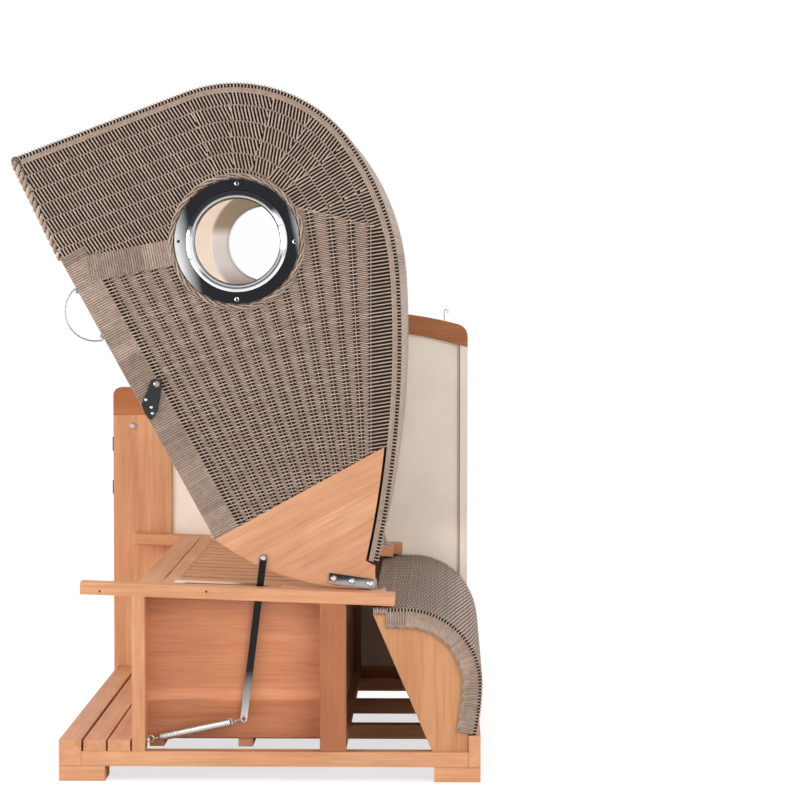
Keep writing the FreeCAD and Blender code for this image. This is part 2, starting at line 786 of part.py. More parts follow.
def hood():
    """Woven shell, cheeks, rims, linings and quarter panels."""
    far_hood = "2 * centre_x - hood_face"
    hood_width = "2 * (hood_face - centre_x)"
    keep("roof_weave", plate("roof_shell", band_between(hood_course("0"), hood_course("shell_thickness")),
                             far_hood, hood_width))
    bar_y = "tip_y + front_bar_radius * cos(roof_pitch) + front_bar_drop * sin(roof_pitch)"
    bar_z = "tip_z + front_bar_radius * sin(roof_pitch) - front_bar_drop * cos(roof_pitch)"
    keep("roof_front_bar", cylinder("front_bar", far_hood, bar_y, bar_z, "front_bar_radius", hood_width))

    wall = ("porthole_y", "porthole_z", "porthole_radius + porthole_wall + fit_gap")
    cheek = plate("cheek", cheek_outline("shell_thickness + fit_gap"), "lining_face", "cheek_thickness", [wall])
    keep("near_cheek_weave", cheek)
    keep("far_cheek_weave", mirrored("far_cheek", cheek))
    inner = "shell_thickness + lining_thickness + 2 * fit_gap"
    both_sides("cheek_linings", plate("cheek_lining", cheek_outline(inner), "lining_inner",
                                      "cheek_lining_thickness", [wall]))
    lining = band_between(hood_course("shell_thickness + fit_gap"),
                          hood_course("shell_thickness + lining_thickness + fit_gap"))
    keep("roof_lining", plate("roof_inner", lining, "2 * centre_x - quarter_inner + fit_gap",
                              "2 * (quarter_inner - fit_gap - centre_x)"))

    rim = [rim_point("0", "0"), rim_point("0", "rim_width"), rim_point("rim_length", "rim_width"),
           rim_point("rim_length", "0")]
    both_sides("front_rims", plate("front_rim", rim, "rim_face - rim_thickness", "rim_thickness"))
    low = "band_drop + band_width"
    band = [rim_point("band_drop", "rim_width"), rim_point(low, "rim_width")]
    for y, z in reversed(band[:2]):
        band.append((f"({y} + band_length * cos(band_pitch))", f"({z} + band_length * sin(band_pitch))"))
    edge = plate("roof_edge", band_between(hood_course("0"), hood_course("edge_band")), "hood_face",
                 "edge_band_thickness")
    both_sides("binding_bands", plate("cross_band", band, "hood_face", "band_thickness"), edge)

    course = hood_course("quarter_inset")
    upper = course.corners[-1]
    heel = "(pivot_y + heel_radius)"
    corners = [upper, course.end(), (heel, "pivot_z + heel_height"), (heel, "pivot_z", ("heel_radius", RIGHT)),
               ("pivot_y", "pivot_z - heel_radius", ("quarter_foot_radius", RIGHT)), quarter_tip()]
    both_sides("quarter_panels", plate("quarter_panel", corners, "quarter_inner", "quarter_thickness",
                                       [("pivot_y", "pivot_z", "pin_radius + pin_clearance")]))
    foot = hood_course("shell_thickness + lining_thickness + fit_gap + back_rail_gap")
    foot_y, foot_z = foot.end()
    rail_y = f"({foot_y} + back_rail_depth * sin({foot.heading}))"
    rail_z = f"({foot_z} - back_rail_depth * cos({foot.heading}))"
    keep("back_rail", plank("back_rail_bar", "2 * centre_x - quarter_inner", rail_y, rail_z,
                            "2 * (quarter_inner - centre_x)", "back_rail_depth", "back_rail_height",
                            f"({foot.heading}) + 90"))


def portholes():
    """Turned rings, panes and screws."""
    outer = "(porthole_radius + porthole_wall)"
    depth = "(cheek_thickness + cheek_lining_thickness)"
    ring = [(f"-{depth}", "porthole_radius"), ("flange_thickness - bead_height", "porthole_radius"),
            ("flange_thickness + bead_height", "porthole_radius + bead_crest"),
            ("flange_thickness", "porthole_radius + bead_width"),
            ("flange_thickness", "flange_radius - flange_edge"),
            ("flange_thickness - flange_edge", "flange_radius"), ("0", "flange_radius"), ("0", outer),
            (f"-{depth}", outer)]
    both_sides("porthole_rings", turned("porthole_ring", ring, "hood_face", "porthole_y", "porthole_z"))
    thick = "inner_flange_thickness"
    inner = [(f"-{thick}", "porthole_radius - inner_lip"), ("0", "porthole_radius - inner_lip"),
             ("0", "flange_radius"), (f"-{thick}", "flange_radius - flange_edge")]
    both_sides("porthole_inner_rings", turned("porthole_inner_ring", inner, "lining_inner", "porthole_y",
                                              "porthole_z"))
    both_sides("porthole_panes", cylinder("porthole_pane", "lining_inner", "porthole_y", "porthole_z",
                                          "porthole_radius - fit_gap", "pane_thickness"))
    screws = []
    for number in range(4):
        angle = f"{90 * number}"
        y = f"porthole_y + porthole_screw_circle * cos({angle})"
        z = f"porthole_z + porthole_screw_circle * sin({angle})"
        screws.append(dome(f"porthole_screw_{number}", "hood_face + flange_thickness", y, z,
                           "porthole_screw_radius", "porthole_screw_height"))
    both_sides("porthole_screws", *screws)


def biarc(start, start_way, end, end_way):
    """Two tangent arcs from one point and direction to another."""
    chord = end - start
    ways = start_way + end_way
    spread = 2 * (1 - start_way.dot(end_way))
    reach = chord.dot(ways)
    if spread < 1e-9:
        length = chord.dot(chord) / (2 * reach)
    else:
        length = (-reach + math.sqrt(reach * reach + spread * chord.dot(chord))) / spread
    first = start + start_way * length
    second = end - end_way * length
    middle = (first + second) / 2
    edges = []
    for here, knee, there in ((start, first, middle), (middle, second, end)):
        half = (there - here).Length / 2
        centre = (here + there) / 2
        lift = math.tan(math.acos(min(half / length, 1)) / 2) * half
        edges.append(Part.Arc(here, centre + (knee - centre).normalize() * lift, there).toShape())
    return edges


def straight_edge(start, end):
    """A straight edge of a wire's path."""
    return Part.LineSegment(start, end).toShape()


def arc_edge(start, middle, end):
    """A curved edge of a wire's path."""
    return Part.Arc(start, middle, end).toShape()


def coil_edges(length, radius, wire, end):
    """A coil's path along +Y from the origin: straight ends, and half turns between them."""
    pitch = (length - 2 * end) / SPRING_TURNS
    rise = pitch / (2 * math.pi * radius)
    along = Vector(0, 1, 0)

    def point(turn):
        angle = 2 * math.pi * turn
        return Vector(radius * math.sin(angle), end + pitch * turn, radius * math.cos(angle))

    def way(turn):
        angle = 2 * math.pi * turn
        return Vector(math.cos(angle), rise, -math.sin(angle)).normalize()

    lead = end - wire
    first = point(0) + Vector(-lead, wire - end, 0)
    last = point(SPRING_TURNS) + Vector(lead, end - wire, 0)
    edges = [straight_edge(first - along * wire, first)]
    edges += biarc(first, along, point(0), way(0))
    for step in range(2 * SPRING_TURNS):
        here = step / 2
        edges += biarc(point(here), way(here), point(here + 0.5), way(here + 0.5))
    edges += biarc(point(SPRING_TURNS), way(SPRING_TURNS), last, along)
    edges.append(straight_edge(last, last + along * wire))
    return edges


def least_gap(edges, wire):
    """The least free space between stretches of a wire that are not next to each other, on points."""
    points = []
    travelled = 0
    for edge in edges:
        for spot in edge.discretize(GAP_POINTS)[:-1]:
            if points:
                travelled += (spot - points[-1][1]).Length
            points.append((travelled, spot))
    least = math.inf
    for index, (here, spot) in enumerate(points):
        for there, other in points[index + 1:index + GAP_WINDOW]:
            if there - here > GAP_APART * wire:
                least = min(least, (other - spot).Length)
    return least - wire


def along_y(name, x, y, z, radius, length):
    """A round bar towards -Y from a point."""
    bar = doc.addObject("Part::Cylinder", name)
    bar.Placement = FreeCAD.Placement(Vector(), FreeCAD.Rotation(Vector(1, 0, 0), 90))
    bind(bar, Radius=radius, Height=length)
    bind(bar, Placement__Base__x=x, Placement__Base__y=y, Placement__Base__z=z)
    return bar


def counterbalance():
    """Levers on the hood, and springs between them and the eyes in the front posts."""
    half = "lever_width / 2"
    round_end = (half, LEFT)
    sides = [(half, "-lever_length"), (half, "0", round_end), ("0", half, round_end), (f"-{half}", "0"),
             (f"-{half}", "-lever_length", round_end), ("0", f"-lever_length - {half}", round_end)]
    hole = ("0", "-lever_length", "lever_hole")
    lever = plate("spring_lever", sides, "quarter_face", "lever_thickness", [hole])
    place(lever, "quarter_face", "lever_top_y", "lever_top_z", "-lever_lean")
    both_sides("spring_levers", lever)

    ring = doc.addObject("Part::Torus", "eye_loop")
    ring.Placement = FreeCAD.Placement(Vector(), FreeCAD.Rotation(Vector(0, 1, 0), 90))
    bind(ring, Radius1="eye_ring", Radius2="eye_wire")
    bind(ring, Placement__Base__x="spring_x", Placement__Base__y="eye_y", Placement__Base__z="eye_height")
    shank = along_y("eye_screw", "spring_x", "eye_y - eye_ring", "eye_height", "eye_wire",
                    "eye_shank + eye_setback - eye_ring")
    both_sides("spring_eyes", fuse("spring_eye", ring, shank))

    eye = Vector(value("spring_x"), value("eye_y"), value("eye_height"))
    foot = Vector(value("spring_x"), value("lever_foot_y"), value("lever_foot_z"))
    span = (foot - eye).Length
    aim = FreeCAD.Rotation(Vector(1, 0, 0), math.degrees(math.atan2(foot.z - eye.z, foot.y - eye.y)))
    set_along = FreeCAD.Placement(eye, aim)
    wire = value("spring_wire")
    radius = value("spring_radius")
    plug = value("plug_length")
    gap = value("fit_gap")
    head_end = value("spring_head_reach")
    tail_start = span - value("spring_tail_reach")
    edges = coil_edges(tail_start - head_end - 2 * gap, radius, wire, value("spring_end"))
    free = least_gap(edges, wire)
    print(f"spring: least gap to itself {free:.2f} mm")
    if free <= LEAST_SELF_GAP:
        raise ValueError("the spring's turns are too close")
    coil = sweep(edges, wire / 2)
    coil.translate(Vector(0, head_end + gap, 0))

    def plug_at(start):
        return Part.makeCylinder(radius + wire / 2, plug, Vector(0, start, 0), Vector(0, 1, 0))

    hook = value("hook_wire") / 2
    bow = value("hook_bow")
    loop = value("eye_ring")
    neck = head_end - plug
    bent = loop + bow
    back = Vector(0, -1, 0)
    path = [straight_edge(Vector(0, neck, 0), Vector(0, neck - hook, 0))]
    path += biarc(Vector(0, neck - hook, 0), back, Vector(bow, bent, 0), back)
    path.append(straight_edge(Vector(bow, bent, 0), Vector(bow, loop, 0)))
    path.append(arc_edge(Vector(bow, loop, 0), Vector(0, loop - bow, 0), Vector(-bow, loop, 0)))
    path.append(straight_edge(Vector(-bow, loop, 0), Vector(-bow, bent, 0)))
    head = sweep(path, hook).fuse(plug_at(neck)).removeSplitter()
    sprung = Part.Compound([coil, *head.Solids])
    near_coil = solid_feature("spring_coil", sprung, set_along)
    keep("near_spring_coil", near_coil)
    keep("far_spring_coil", mirrored("far_coil", near_coil))

    tail_eye = value("tail_eye")
    aside = radius + wire / 2 - hook
    onward = Vector(0, 1, 0)
    start = Vector(0, tail_start + plug, 0)
    bent = Vector(-aside, span - tail_eye - 2 * hook, 0)
    path = [straight_edge(start, start + onward * hook)]
    path += biarc(start + onward * hook, onward, bent, onward)
    path.append(straight_edge(bent, Vector(-aside, span - tail_eye, 0)))
    eyelet = Part.makeTorus(tail_eye, hook, Vector(-aside, span, 0), Vector(1, 0, 0))
    tail = plug_at(tail_start).fuse([sweep(path, hook), eyelet]).removeSplitter()
    near_tail = solid_feature("spring_tail", tail, set_along)
    keep("near_spring_tail", near_tail)
    keep("far_spring_tail", mirrored("far_tail", near_tail))


def latches():
    """Catch levers on the rims' outer faces, and their bolts."""
    y, z = rim_point("latch_drop", "latch_inset")
    seat = "rim_face + latch_gap"
    hole = ("0", "0", "latch_pin_radius + pin_clearance")
    catch = plate("catch", LATCH_OUTLINE, seat, "latch_thickness", [hole])
    place(catch, seat, y, z)
    keep("near_latch", catch)
    keep("far_latch", mirrored("far_catch", catch))
    reach = "latch_gap + latch_thickness + fit_gap"
    stud = cylinder("latch_stud", "rim_face", y, z, "latch_pin_radius", reach)
    cap = dome("latch_cap", f"rim_face + {reach}", y, z, "bolt_head_radius", "bolt_head_height")
    both_sides("latch_bolts", fuse("latch_bolt", stud, cap))


def bails():
    """Wire pulls that hang from lugs on the rims' front edges."""
    size = "bail_lug_size"
    lugs = []
    for number, side in enumerate((-1, 1)):
        middle = f"bail_drop + {side} * (bail_inner - bail_lug_length / 2 - fit_gap)"
        low = f"{middle} + bail_lug_length / 2"
        block = plank(f"bail_block_{number}", f"rim_middle - {size} / 2", *rim_point(low, f"-{size}"), size,
                      size, "bail_lug_length", "rim_lean")
        bore = doc.addObject("Part::Cylinder", f"bail_bore_{number}")
        bind(bore, Radius="bail_wire / 2 + pin_clearance", Height="bail_lug_length + 2 * cut_overrun")
        place(bore, "rim_middle", *rim_point(f"{low} + cut_overrun", f"-{size} / 2"), "rim_lean")
        lugs.append(cut(f"bail_lug_{number}", block, bore))
    both_sides("bail_lugs", *lugs)

    inner = value("bail_inner")
    radius = value("bail_radius")
    bend = value("bail_bend")
    splay = math.radians(value("bail_splay"))
    pin = value("bail_pin")
    lean = math.radians(value("rim_lean"))
    middle_y, middle_z = rim_point("bail_drop", f"-{size} / 2")
    middle = Vector(value("rim_middle"), value(middle_y), value(middle_z))
    down = Vector(0, math.sin(lean), -math.cos(lean))
    out = Vector(0, -math.cos(lean), -math.sin(lean))

    def at(along, away):
        return middle + down * along + out * away

    def bent(turn):
        return at(inner + bend * math.sin(turn), bend * (1 - math.cos(turn)))

    def bent_back(turn):
        return at(-inner - bend * math.sin(turn), bend * (1 - math.cos(turn)))

    turn = math.pi / 2 + splay
    crest = radius - radius * math.sin(splay) + bend * (1 + math.sin(splay))
    path = [
        straight_edge(at(inner - pin, 0), at(inner, 0)),
        arc_edge(at(inner, 0), bent(turn / 2), bent(turn)),
        arc_edge(bent(turn), at(0, crest), bent_back(turn)),
        arc_edge(bent_back(turn), bent_back(turn / 2), at(-inner, 0)),
        straight_edge(at(-inner, 0), at(pin - inner, 0)),
    ]
    pull = solid_feature("bail_wire_near", sweep(path, value("bail_wire") / 2), FreeCAD.Placement())
    keep("near_bail", pull)
    keep("far_bail", mirrored("far_bail_wire", pull))


def skirt():
    """The woven skirt behind the seat and the brackets that carry it."""
    shell = plate("skirt_shell", band_between(skirt_course("0"), skirt_course("skirt_thickness")),
                  "2 * centre_x - skirt_face", "2 * (skirt_face - centre_x)")
    late = "skirt_band_start"
    flange = plate("skirt_flange", band_between(skirt_course("0", late), skirt_course("skirt_band", late)),
                   "bracket_face", "skirt_band_thickness")
    keep("rear_skirt", fuse("skirt_whole", shell, flange, mirrored("skirt_flange_far", flange)))
    course = skirt_course("skirt_thickness + fit_gap")
    end_y, end_z = course.end()
    rear = "runner_rear - fit_gap"
    foot = [(rear, "runner_top"), ("bracket_foot", "runner_top")]
    corners = course.corners + [(end_y, end_z), (rear, end_z)] + foot
    both_sides("skirt_brackets", plate("skirt_bracket", corners, "bracket_face - bracket_thickness",
                                       "bracket_thickness"))


def far_panel():
    """The side panel that is still on: frame, lining, weave and fittings."""
    def under_crest(y):
        return f"(inner_crest_z - ({y} - inner_crest_y) ^ 2 / (inner_crest_radius + " \
               f"sqrt(inner_crest_radius ^ 2 - ({y} - inner_crest_y) ^ 2)))"

    stile_rear = "panel_front_y + stile_width"
    inside_rear = "panel_rear_y - rear_stile_width"
    rail_top = "foot_height + bottom_rail_height"
    keep("panel_front_stile", plank("front_stile", "panel_outer", "panel_front_y", "foot_height",
                                    "panel_thickness", "stile_width", "arm_underside - foot_height"))
    keep("panel_bottom_rail", plank("bottom_rail", "panel_outer", stile_rear, "foot_height", "panel_thickness",
                                    f"{inside_rear} - ({stile_rear})", "bottom_rail_height"))
    rear_stile = [(inside_rear, "foot_height"), ("panel_rear_y", "foot_height"),
                  ("panel_rear_y", under_crest("panel_rear_y")), (inside_rear, under_crest(f"({inside_rear})"))]
    keep("panel_rear_stile", plate("rear_stile", rear_stile, "panel_outer", "panel_thickness"))

    arm_end = "panel_front_y + arm_length"
    rise = ("rise_radius", RIGHT)
    top = [("panel_front_y", "arm_underside"),
           ("panel_front_y", "arm_height - front_corner", ("front_corner", RIGHT)),
           ("panel_front_y + front_corner", "arm_height"),
           (arm_end, "arm_height", ("rise_radius", LEFT)),
           (f"({arm_end} + crest_y) / 2", "(arm_height + crest_z) / 2", rise),
           ("crest_y", "crest_z", ("crest_radius", RIGHT)),
           ("crest_y + crest_radius * sin(crest_turn)", "crest_end_z", ("panel_corner", RIGHT)),
           ("panel_rear_y", "crest_end_z - panel_corner * cos(crest_turn)"),
           ("panel_rear_y", under_crest("panel_rear_y"), ("inner_crest_radius", LEFT))]
    inner_end = "panel_front_y + inner_arm_length"
    inner_middle = (f"({inner_end} + inner_crest_y) / 2", "(arm_underside + inner_crest_z) / 2")
    top += [("inner_crest_y", "inner_crest_z", ("inner_rise_radius", LEFT)),
            (*inner_middle, ("inner_rise_radius", RIGHT)), (inner_end, "arm_underside")]
    rail = plate("top_rail_blank", top, "panel_outer", "panel_thickness")
    hanger_y = "panel_rear_y - hanger_setback"
    hanger_z = f"crest_z - crest_radius + sqrt(crest_radius ^ 2 - ({hanger_y} - crest_y) ^ 2)"
    hole = doc.addObject("Part::Cylinder", "hanger_hole")
    bind(hole, Radius="hanger_wire / 2", Height="2 * hanger_depth")
    place(hole, "panel_outer + panel_thickness / 2", hanger_y, f"{hanger_z} - hanger_depth")
    keep("panel_top_rail", cut("top_rail", rail, hole))

    field = [(stile_rear, rail_top), (stile_rear, "arm_underside"),
             (inner_end, "arm_underside", ("inner_rise_radius", LEFT)),
             (*inner_middle, ("inner_rise_radius", RIGHT)),
             ("inner_crest_y", "inner_crest_z", ("inner_crest_radius", RIGHT)),
             (inside_rear, under_crest(f"({inside_rear})")), (inside_rear, rail_top)]
    keep("panel_lining", plate("lining_field", field, "far_face - panel_lining_inset - panel_lining_thickness",
                               "panel_lining_thickness"))
    keep("panel_weave", plate("weave_field", field, "panel_outer + panel_weave_inset", "panel_weave_thickness"))

    keep("panel_bolt", dome("cap_bolt", "far_face", "panel_front_y + cap_bolt_setback",
                            "arm_underside - cap_bolt_drop", "cap_bolt_radius", "cap_bolt_height"))
    plates = []
    for name, z in (("low", "edge_plate_low"), ("high", "edge_plate_high")):
        x = "panel_outer + (panel_thickness - edge_plate_width) / 2"
        plates.append(plank(f"edge_plate_{name}", x, "panel_front_y - edge_plate_thickness",
                            f"arm_underside - {z}", "edge_plate_width", "edge_plate_thickness",
                            "edge_plate_height"))
    keep("panel_edge_plates", group("edge_plate_set", *plates))

    bow = value("hanger_bow")
    foot = Vector(value("panel_outer + panel_thickness / 2"), value(hanger_y), value(hanger_z))
    top_z = value("hanger_height") - bow - value("hanger_wire") / 2
    up = Vector(0, 0, 1)
    aside = Vector(0, 2 * bow, 0)
    crown = foot + up * top_z
    path = [
        straight_edge(foot - up * value("hanger_depth"), crown),
        arc_edge(crown, crown + aside / 2 + up * bow, crown + aside),
        straight_edge(crown + aside, crown + aside - up * bow),
    ]
    keep("panel_hanger", solid_feature("hanger", sweep(path, value("hanger_wire") / 2), FreeCAD.Placement()))


base()
seat_box()
deck()
hinge()
hood()
portholes()
counterbalance()
latches()
bails()
skirt()
far_panel()
doc.recompute()

for thing in doc.Objects:
    if "Invalid" in thing.State or "Error" in thing.State:
        raise ValueError(f"{thing.Name} did not build: {thing.State}")
os.makedirs("parts", exist_ok=True)
box = FreeCAD.BoundBox()
for thing in sub_parts:
    if thing.Shape.isNull() or not thing.Shape.isValid():
        raise ValueError(f"{thing.Label} has no sound shape")
    thing.Shape.exportStep(f"parts/{thing.Label}.step")
    box.add(thing.Shape.BoundBox)
print(f"{len(sub_parts)} sub-parts, {box}")
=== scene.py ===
"""Looks of the hooded beach chair: finishes, weave, wraps, linings, springs, camera and light. Metres."""
import math
import random

import bmesh
import bpy
import numpy as np
from mathutils import Matrix, Vector


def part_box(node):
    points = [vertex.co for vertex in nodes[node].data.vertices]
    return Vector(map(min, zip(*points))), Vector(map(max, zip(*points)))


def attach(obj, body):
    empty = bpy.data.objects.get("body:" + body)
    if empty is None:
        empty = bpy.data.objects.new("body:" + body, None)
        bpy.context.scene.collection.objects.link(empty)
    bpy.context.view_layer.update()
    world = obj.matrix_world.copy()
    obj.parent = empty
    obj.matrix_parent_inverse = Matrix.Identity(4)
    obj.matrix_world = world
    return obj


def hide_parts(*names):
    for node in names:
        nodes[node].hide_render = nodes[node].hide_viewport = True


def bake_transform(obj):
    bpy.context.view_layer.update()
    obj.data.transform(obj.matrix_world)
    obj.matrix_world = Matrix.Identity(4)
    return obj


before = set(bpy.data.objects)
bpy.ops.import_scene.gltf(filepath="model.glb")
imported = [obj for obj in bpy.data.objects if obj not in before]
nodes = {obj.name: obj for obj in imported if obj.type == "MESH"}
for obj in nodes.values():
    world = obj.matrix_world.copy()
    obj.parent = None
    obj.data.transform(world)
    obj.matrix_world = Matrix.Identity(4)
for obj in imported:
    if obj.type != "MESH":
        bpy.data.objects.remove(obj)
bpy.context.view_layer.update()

random.seed(7)
SIDES = (("near", 1), ("far", -1))

# Places repeated from the construction; a bend is its radius and its turn in degrees
MIDDLE = 0.0225
HOOD_FACE = 0.540
RIM_FACE = 0.544
RIM_THICKNESS = 0.028
ROOF_PITCH = math.radians(20.9)
ROOF_TIP = np.array([-0.534, 1.403144])
FRONT_BAR = 0.018
ROOF_RUN = 0.404
HOOD_BENDS = ((0.322, 74.3), (0.573, 33.0), (2.335, 16.02))
QUARTER_CORNER_TURN = 9.52
EDGE_BAND = 0.020
EDGE_FACE = 0.544
RIM_LEAN = math.radians(28.8)
RIM_LENGTH = 0.726
RIM_WIDTH = 0.060
QUARTER_TIP = np.array([-0.072063, 0.543426])
QUARTER_CORNER = np.array([0.311759, 0.754435])
BAND_DROP = 0.026
BAND_WIDTH = 0.058
BAND_LENGTH = 0.172
BAND_PITCH = math.radians(11)
PORTHOLE = np.array([-0.022, 1.219144])
PORTHOLE_HOLE = 0.1043
LATCH_PIVOT = np.array([-0.20356, 0.896785])
SKIRT_START = np.array([0.287, 0.392986])
SKIRT_RUN = 0.07545
SKIRT_BENDS = ((0.170013, 90.0), (0.520, 13.0))
SKIRT_FACE = 0.596
PANEL_INNER = -0.5775
PANEL_OUTER = -0.6225
PANEL_FRONT = -0.278
PANEL_FOOT = 0.094
PANEL_REAR = 0.4888
STILE_REAR = 0.5088
RAIL_START = np.array([-0.230, 0.764])
RAIL_SWEEP = (0.2737, math.radians(54.3))
RAIL_ARCH = 0.943
SPRING_EYE = np.array([0.5632, -0.2185, 0.0905])
SPRING_ANGLE = math.radians(11.93664)
SPRING_SPAN = 0.216118


# Outlines

def bearing(angle):
    """The unit step at an angle in the side plane, as (y, z)."""
    return np.array([math.cos(angle), math.sin(angle)])


def bent_point(start, heading, run, bends, distance, inset):
    """A point at a distance along a straight run and the bends after it, moved inward by an inset."""
    point = start + min(distance, run) * bearing(heading)
    left = distance - run
    for radius, turn in bends:
        if left <= 0:
            break
        onward = heading - min(left / radius, math.radians(turn))
        point = point + radius * np.array([math.sin(heading) - math.sin(onward),
                                           math.cos(onward) - math.cos(heading)])
        heading = onward
        left -= radius * math.radians(turn)
    return point + inset * np.array([math.sin(heading), -math.cos(heading)])


def bent_length(run, bends):
    """The length of a straight run and the bends after it."""
    return run + sum(radius * math.radians(turn) for radius, turn in bends)


ROOF_START = ROOF_TIP + FRONT_BAR * bearing(ROOF_PITCH)
HOOD_LENGTH = bent_length(ROOF_RUN, HOOD_BENDS)
CHEEK_LENGTH = HOOD_LENGTH - HOOD_BENDS[2][0] * math.radians(HOOD_BENDS[2][1] - QUARTER_CORNER_TURN)
SKIRT_LENGTH = bent_length(SKIRT_RUN, SKIRT_BENDS)


def hood_point(distance, inset=0.0):
    """A point of the hood's outline, measured along it from the roof's front edge and inward from it."""
    return bent_point(ROOF_START, ROOF_PITCH, ROOF_RUN, HOOD_BENDS, distance, inset)


def skirt_point(distance, inset=0.0):
    """A point of the skirt's outline, from under the deck round to the rear board."""
    return bent_point(SKIRT_START, 0.0, SKIRT_RUN, SKIRT_BENDS, distance, inset)


def trail_of(point_at, start, end, count, inset):
    """Evenly spaced points of an outline, between two distances along it."""
    return [point_at(distance, inset) for distance in np.linspace(start, end, count)]


def rim_point(down, inward):
    """A point of a front rim, down it from its upper front corner and inward from its front edge."""
    along = np.array([-math.sin(RIM_LEAN), math.cos(RIM_LEAN)])
    return QUARTER_TIP + (RIM_LENGTH - down) * along + inward * bearing(RIM_LEAN)


def cheek_outline(inset, tuck=0.0, under=0.0):
    """A cheek's outline inside the roof, behind the rim and above the quarter panel."""
    points = trail_of(hood_point, 0, CHEEK_LENGTH, 90, inset)
    behind = RIM_WIDTH - under
    points += [QUARTER_CORNER, rim_point(RIM_LENGTH, behind), rim_point(tuck, behind), rim_point(tuck, 0)]
    return np.array(points)


def circle(radius, count):
    """Points round the porthole's middle, the last on the first."""
    return [PORTHOLE + radius * bearing(angle) for angle in np.linspace(0, 2 * math.pi, count + 1)]


def inside(outline, points):
    """Which of the points lie inside a closed outline."""
    across, height = points[:, 0], points[:, 1]
    result = np.zeros(len(points), bool)
    before = outline[-1]
    for here in outline:
        crosses = (here[1] > height) != (before[1] > height)
        rise = before[1] - here[1]
        if abs(rise) > 1e-12:
            result ^= crosses & (across < (before[0] - here[0]) * (height - here[1]) / rise + here[0])
        before = here
    return result


def runs(mask):
    """Stretches of two or more true entries, as (start, end)."""
    changes = np.flatnonzero(np.diff(np.concatenate([[0], mask, [0]])))
    return [(start, end) for start, end in changes.reshape(-1, 2) if end - start > 1]


def side_x(side, out):
    """X at a distance from the middle plane, on the near (+1) or far (-1) side."""
    return MIDDLE + side * out


def on_side(side, out, points):
    """Points of the side plane brought to a distance from the middle plane."""
    return [(side_x(side, out), *point) for point in points]


def outward(side):
    return Vector((side, 0, 0))


# Node helpers

def feed(tree, socket, value):
    """Give an input a plain value or another socket."""
    if isinstance(value, bpy.types.NodeSocket):
        tree.links.new(value, socket)
    else:
        socket.default_value = value


def add(tree, kind, **values):
    """A node with its properties and what its named inputs are fed."""
    node = tree.nodes.new(kind)
    for name, value in values.items():
        if name in node.inputs:
            feed(tree, node.inputs[name], value)
        else:
            setattr(node, name, value)
    return node


def grey(level):
    return (level, level, level)


BLACK, WHITE = grey(0.0), grey(1.0)


def ramp(tree, factor, stops):
    """A colour ramp from (place, colour) stops."""
    node = add(tree, "ShaderNodeValToRGB", Fac=factor)
    elements = node.color_ramp.elements
    while len(elements) < len(stops):
        elements.new(0.5)
    for element, (place, colour) in zip(elements, stops):
        element.position = place
        element.color = (*colour, 1)
    return node.outputs["Color"]


def blend_colours(tree, kind, amount, first, second):
    """Two colours mixed; the amount may be a socket."""
    node = add(tree, "ShaderNodeMix", data_type="RGBA", blend_type=kind)
    for index, value in ((0, amount), (6, first), (7, second)):
        feed(tree, node.inputs[index], value)
    return node.outputs[2]


def tinted(tree, colour, factor, stops, amount=1.0):
    """A colour multiplied by that of a ramp."""
    return blend_colours(tree, "MULTIPLY", amount, colour, ramp(tree, factor, stops))


def maths(tree, operation, *values):
    """A math node's result; the values are sockets or plain numbers."""
    node = add(tree, "ShaderNodeMath", operation=operation)
    for socket, value in zip(node.inputs, values):
        feed(tree, socket, value)
    return node.outputs[0]


def ranged(tree, value, low, high):
    """A value between 0 and 1 brought between two others."""
    return add(tree, "ShaderNodeMapRange", Value=value, **{"To Min": low, "To Max": high}).outputs["Result"]


def parts_of(tree, vector):
    """The X, Y and Z sockets of a vector."""
    return add(tree, "ShaderNodeSeparateXYZ", Vector=vector).outputs


def placed(tree, scale=(1, 1, 1), turn=(0, 0, 0), place=(0, 0, 0)):
    """Object coordinates from a place, turned back and then scaled."""
    coordinates = add(tree, "ShaderNodeTexCoord").outputs["Object"]
    sizes = [1 / size for size in scale]
    return add(tree, "ShaderNodeMapping", vector_type="TEXTURE", Vector=coordinates,
               Location=place, Rotation=turn, Scale=sizes).outputs["Vector"]


def noise(tree, vector, scale, detail=4.0, rough=0.55, distortion=0.0):
    """A noise value over a vector."""
    return add(tree, "ShaderNodeTexNoise", Vector=vector, Scale=scale, Detail=detail, Roughness=rough,
               Distortion=distortion).outputs["Fac"]


def bump(tree, height, strength, distance, sunk=False):
    """Normals in relief from a height socket."""
    return add(tree, "ShaderNodeBump", Height=height, Strength=strength, Distance=distance,
               invert=sunk).outputs["Normal"]


# Finishes

def finish(name):
    """A new material and its tree."""
    material = bpy.data.materials.new(name)
    material.use_nodes = True
    return material, material.node_tree


def coat(material, **values):
    """Feed a material's shader by its inputs' names, with underscores for spaces."""
    tree = material.node_tree
    for name, value in values.items():
        feed(tree, tree.nodes["Principled BSDF"].inputs[name.replace("_", " ")], value)
    return material


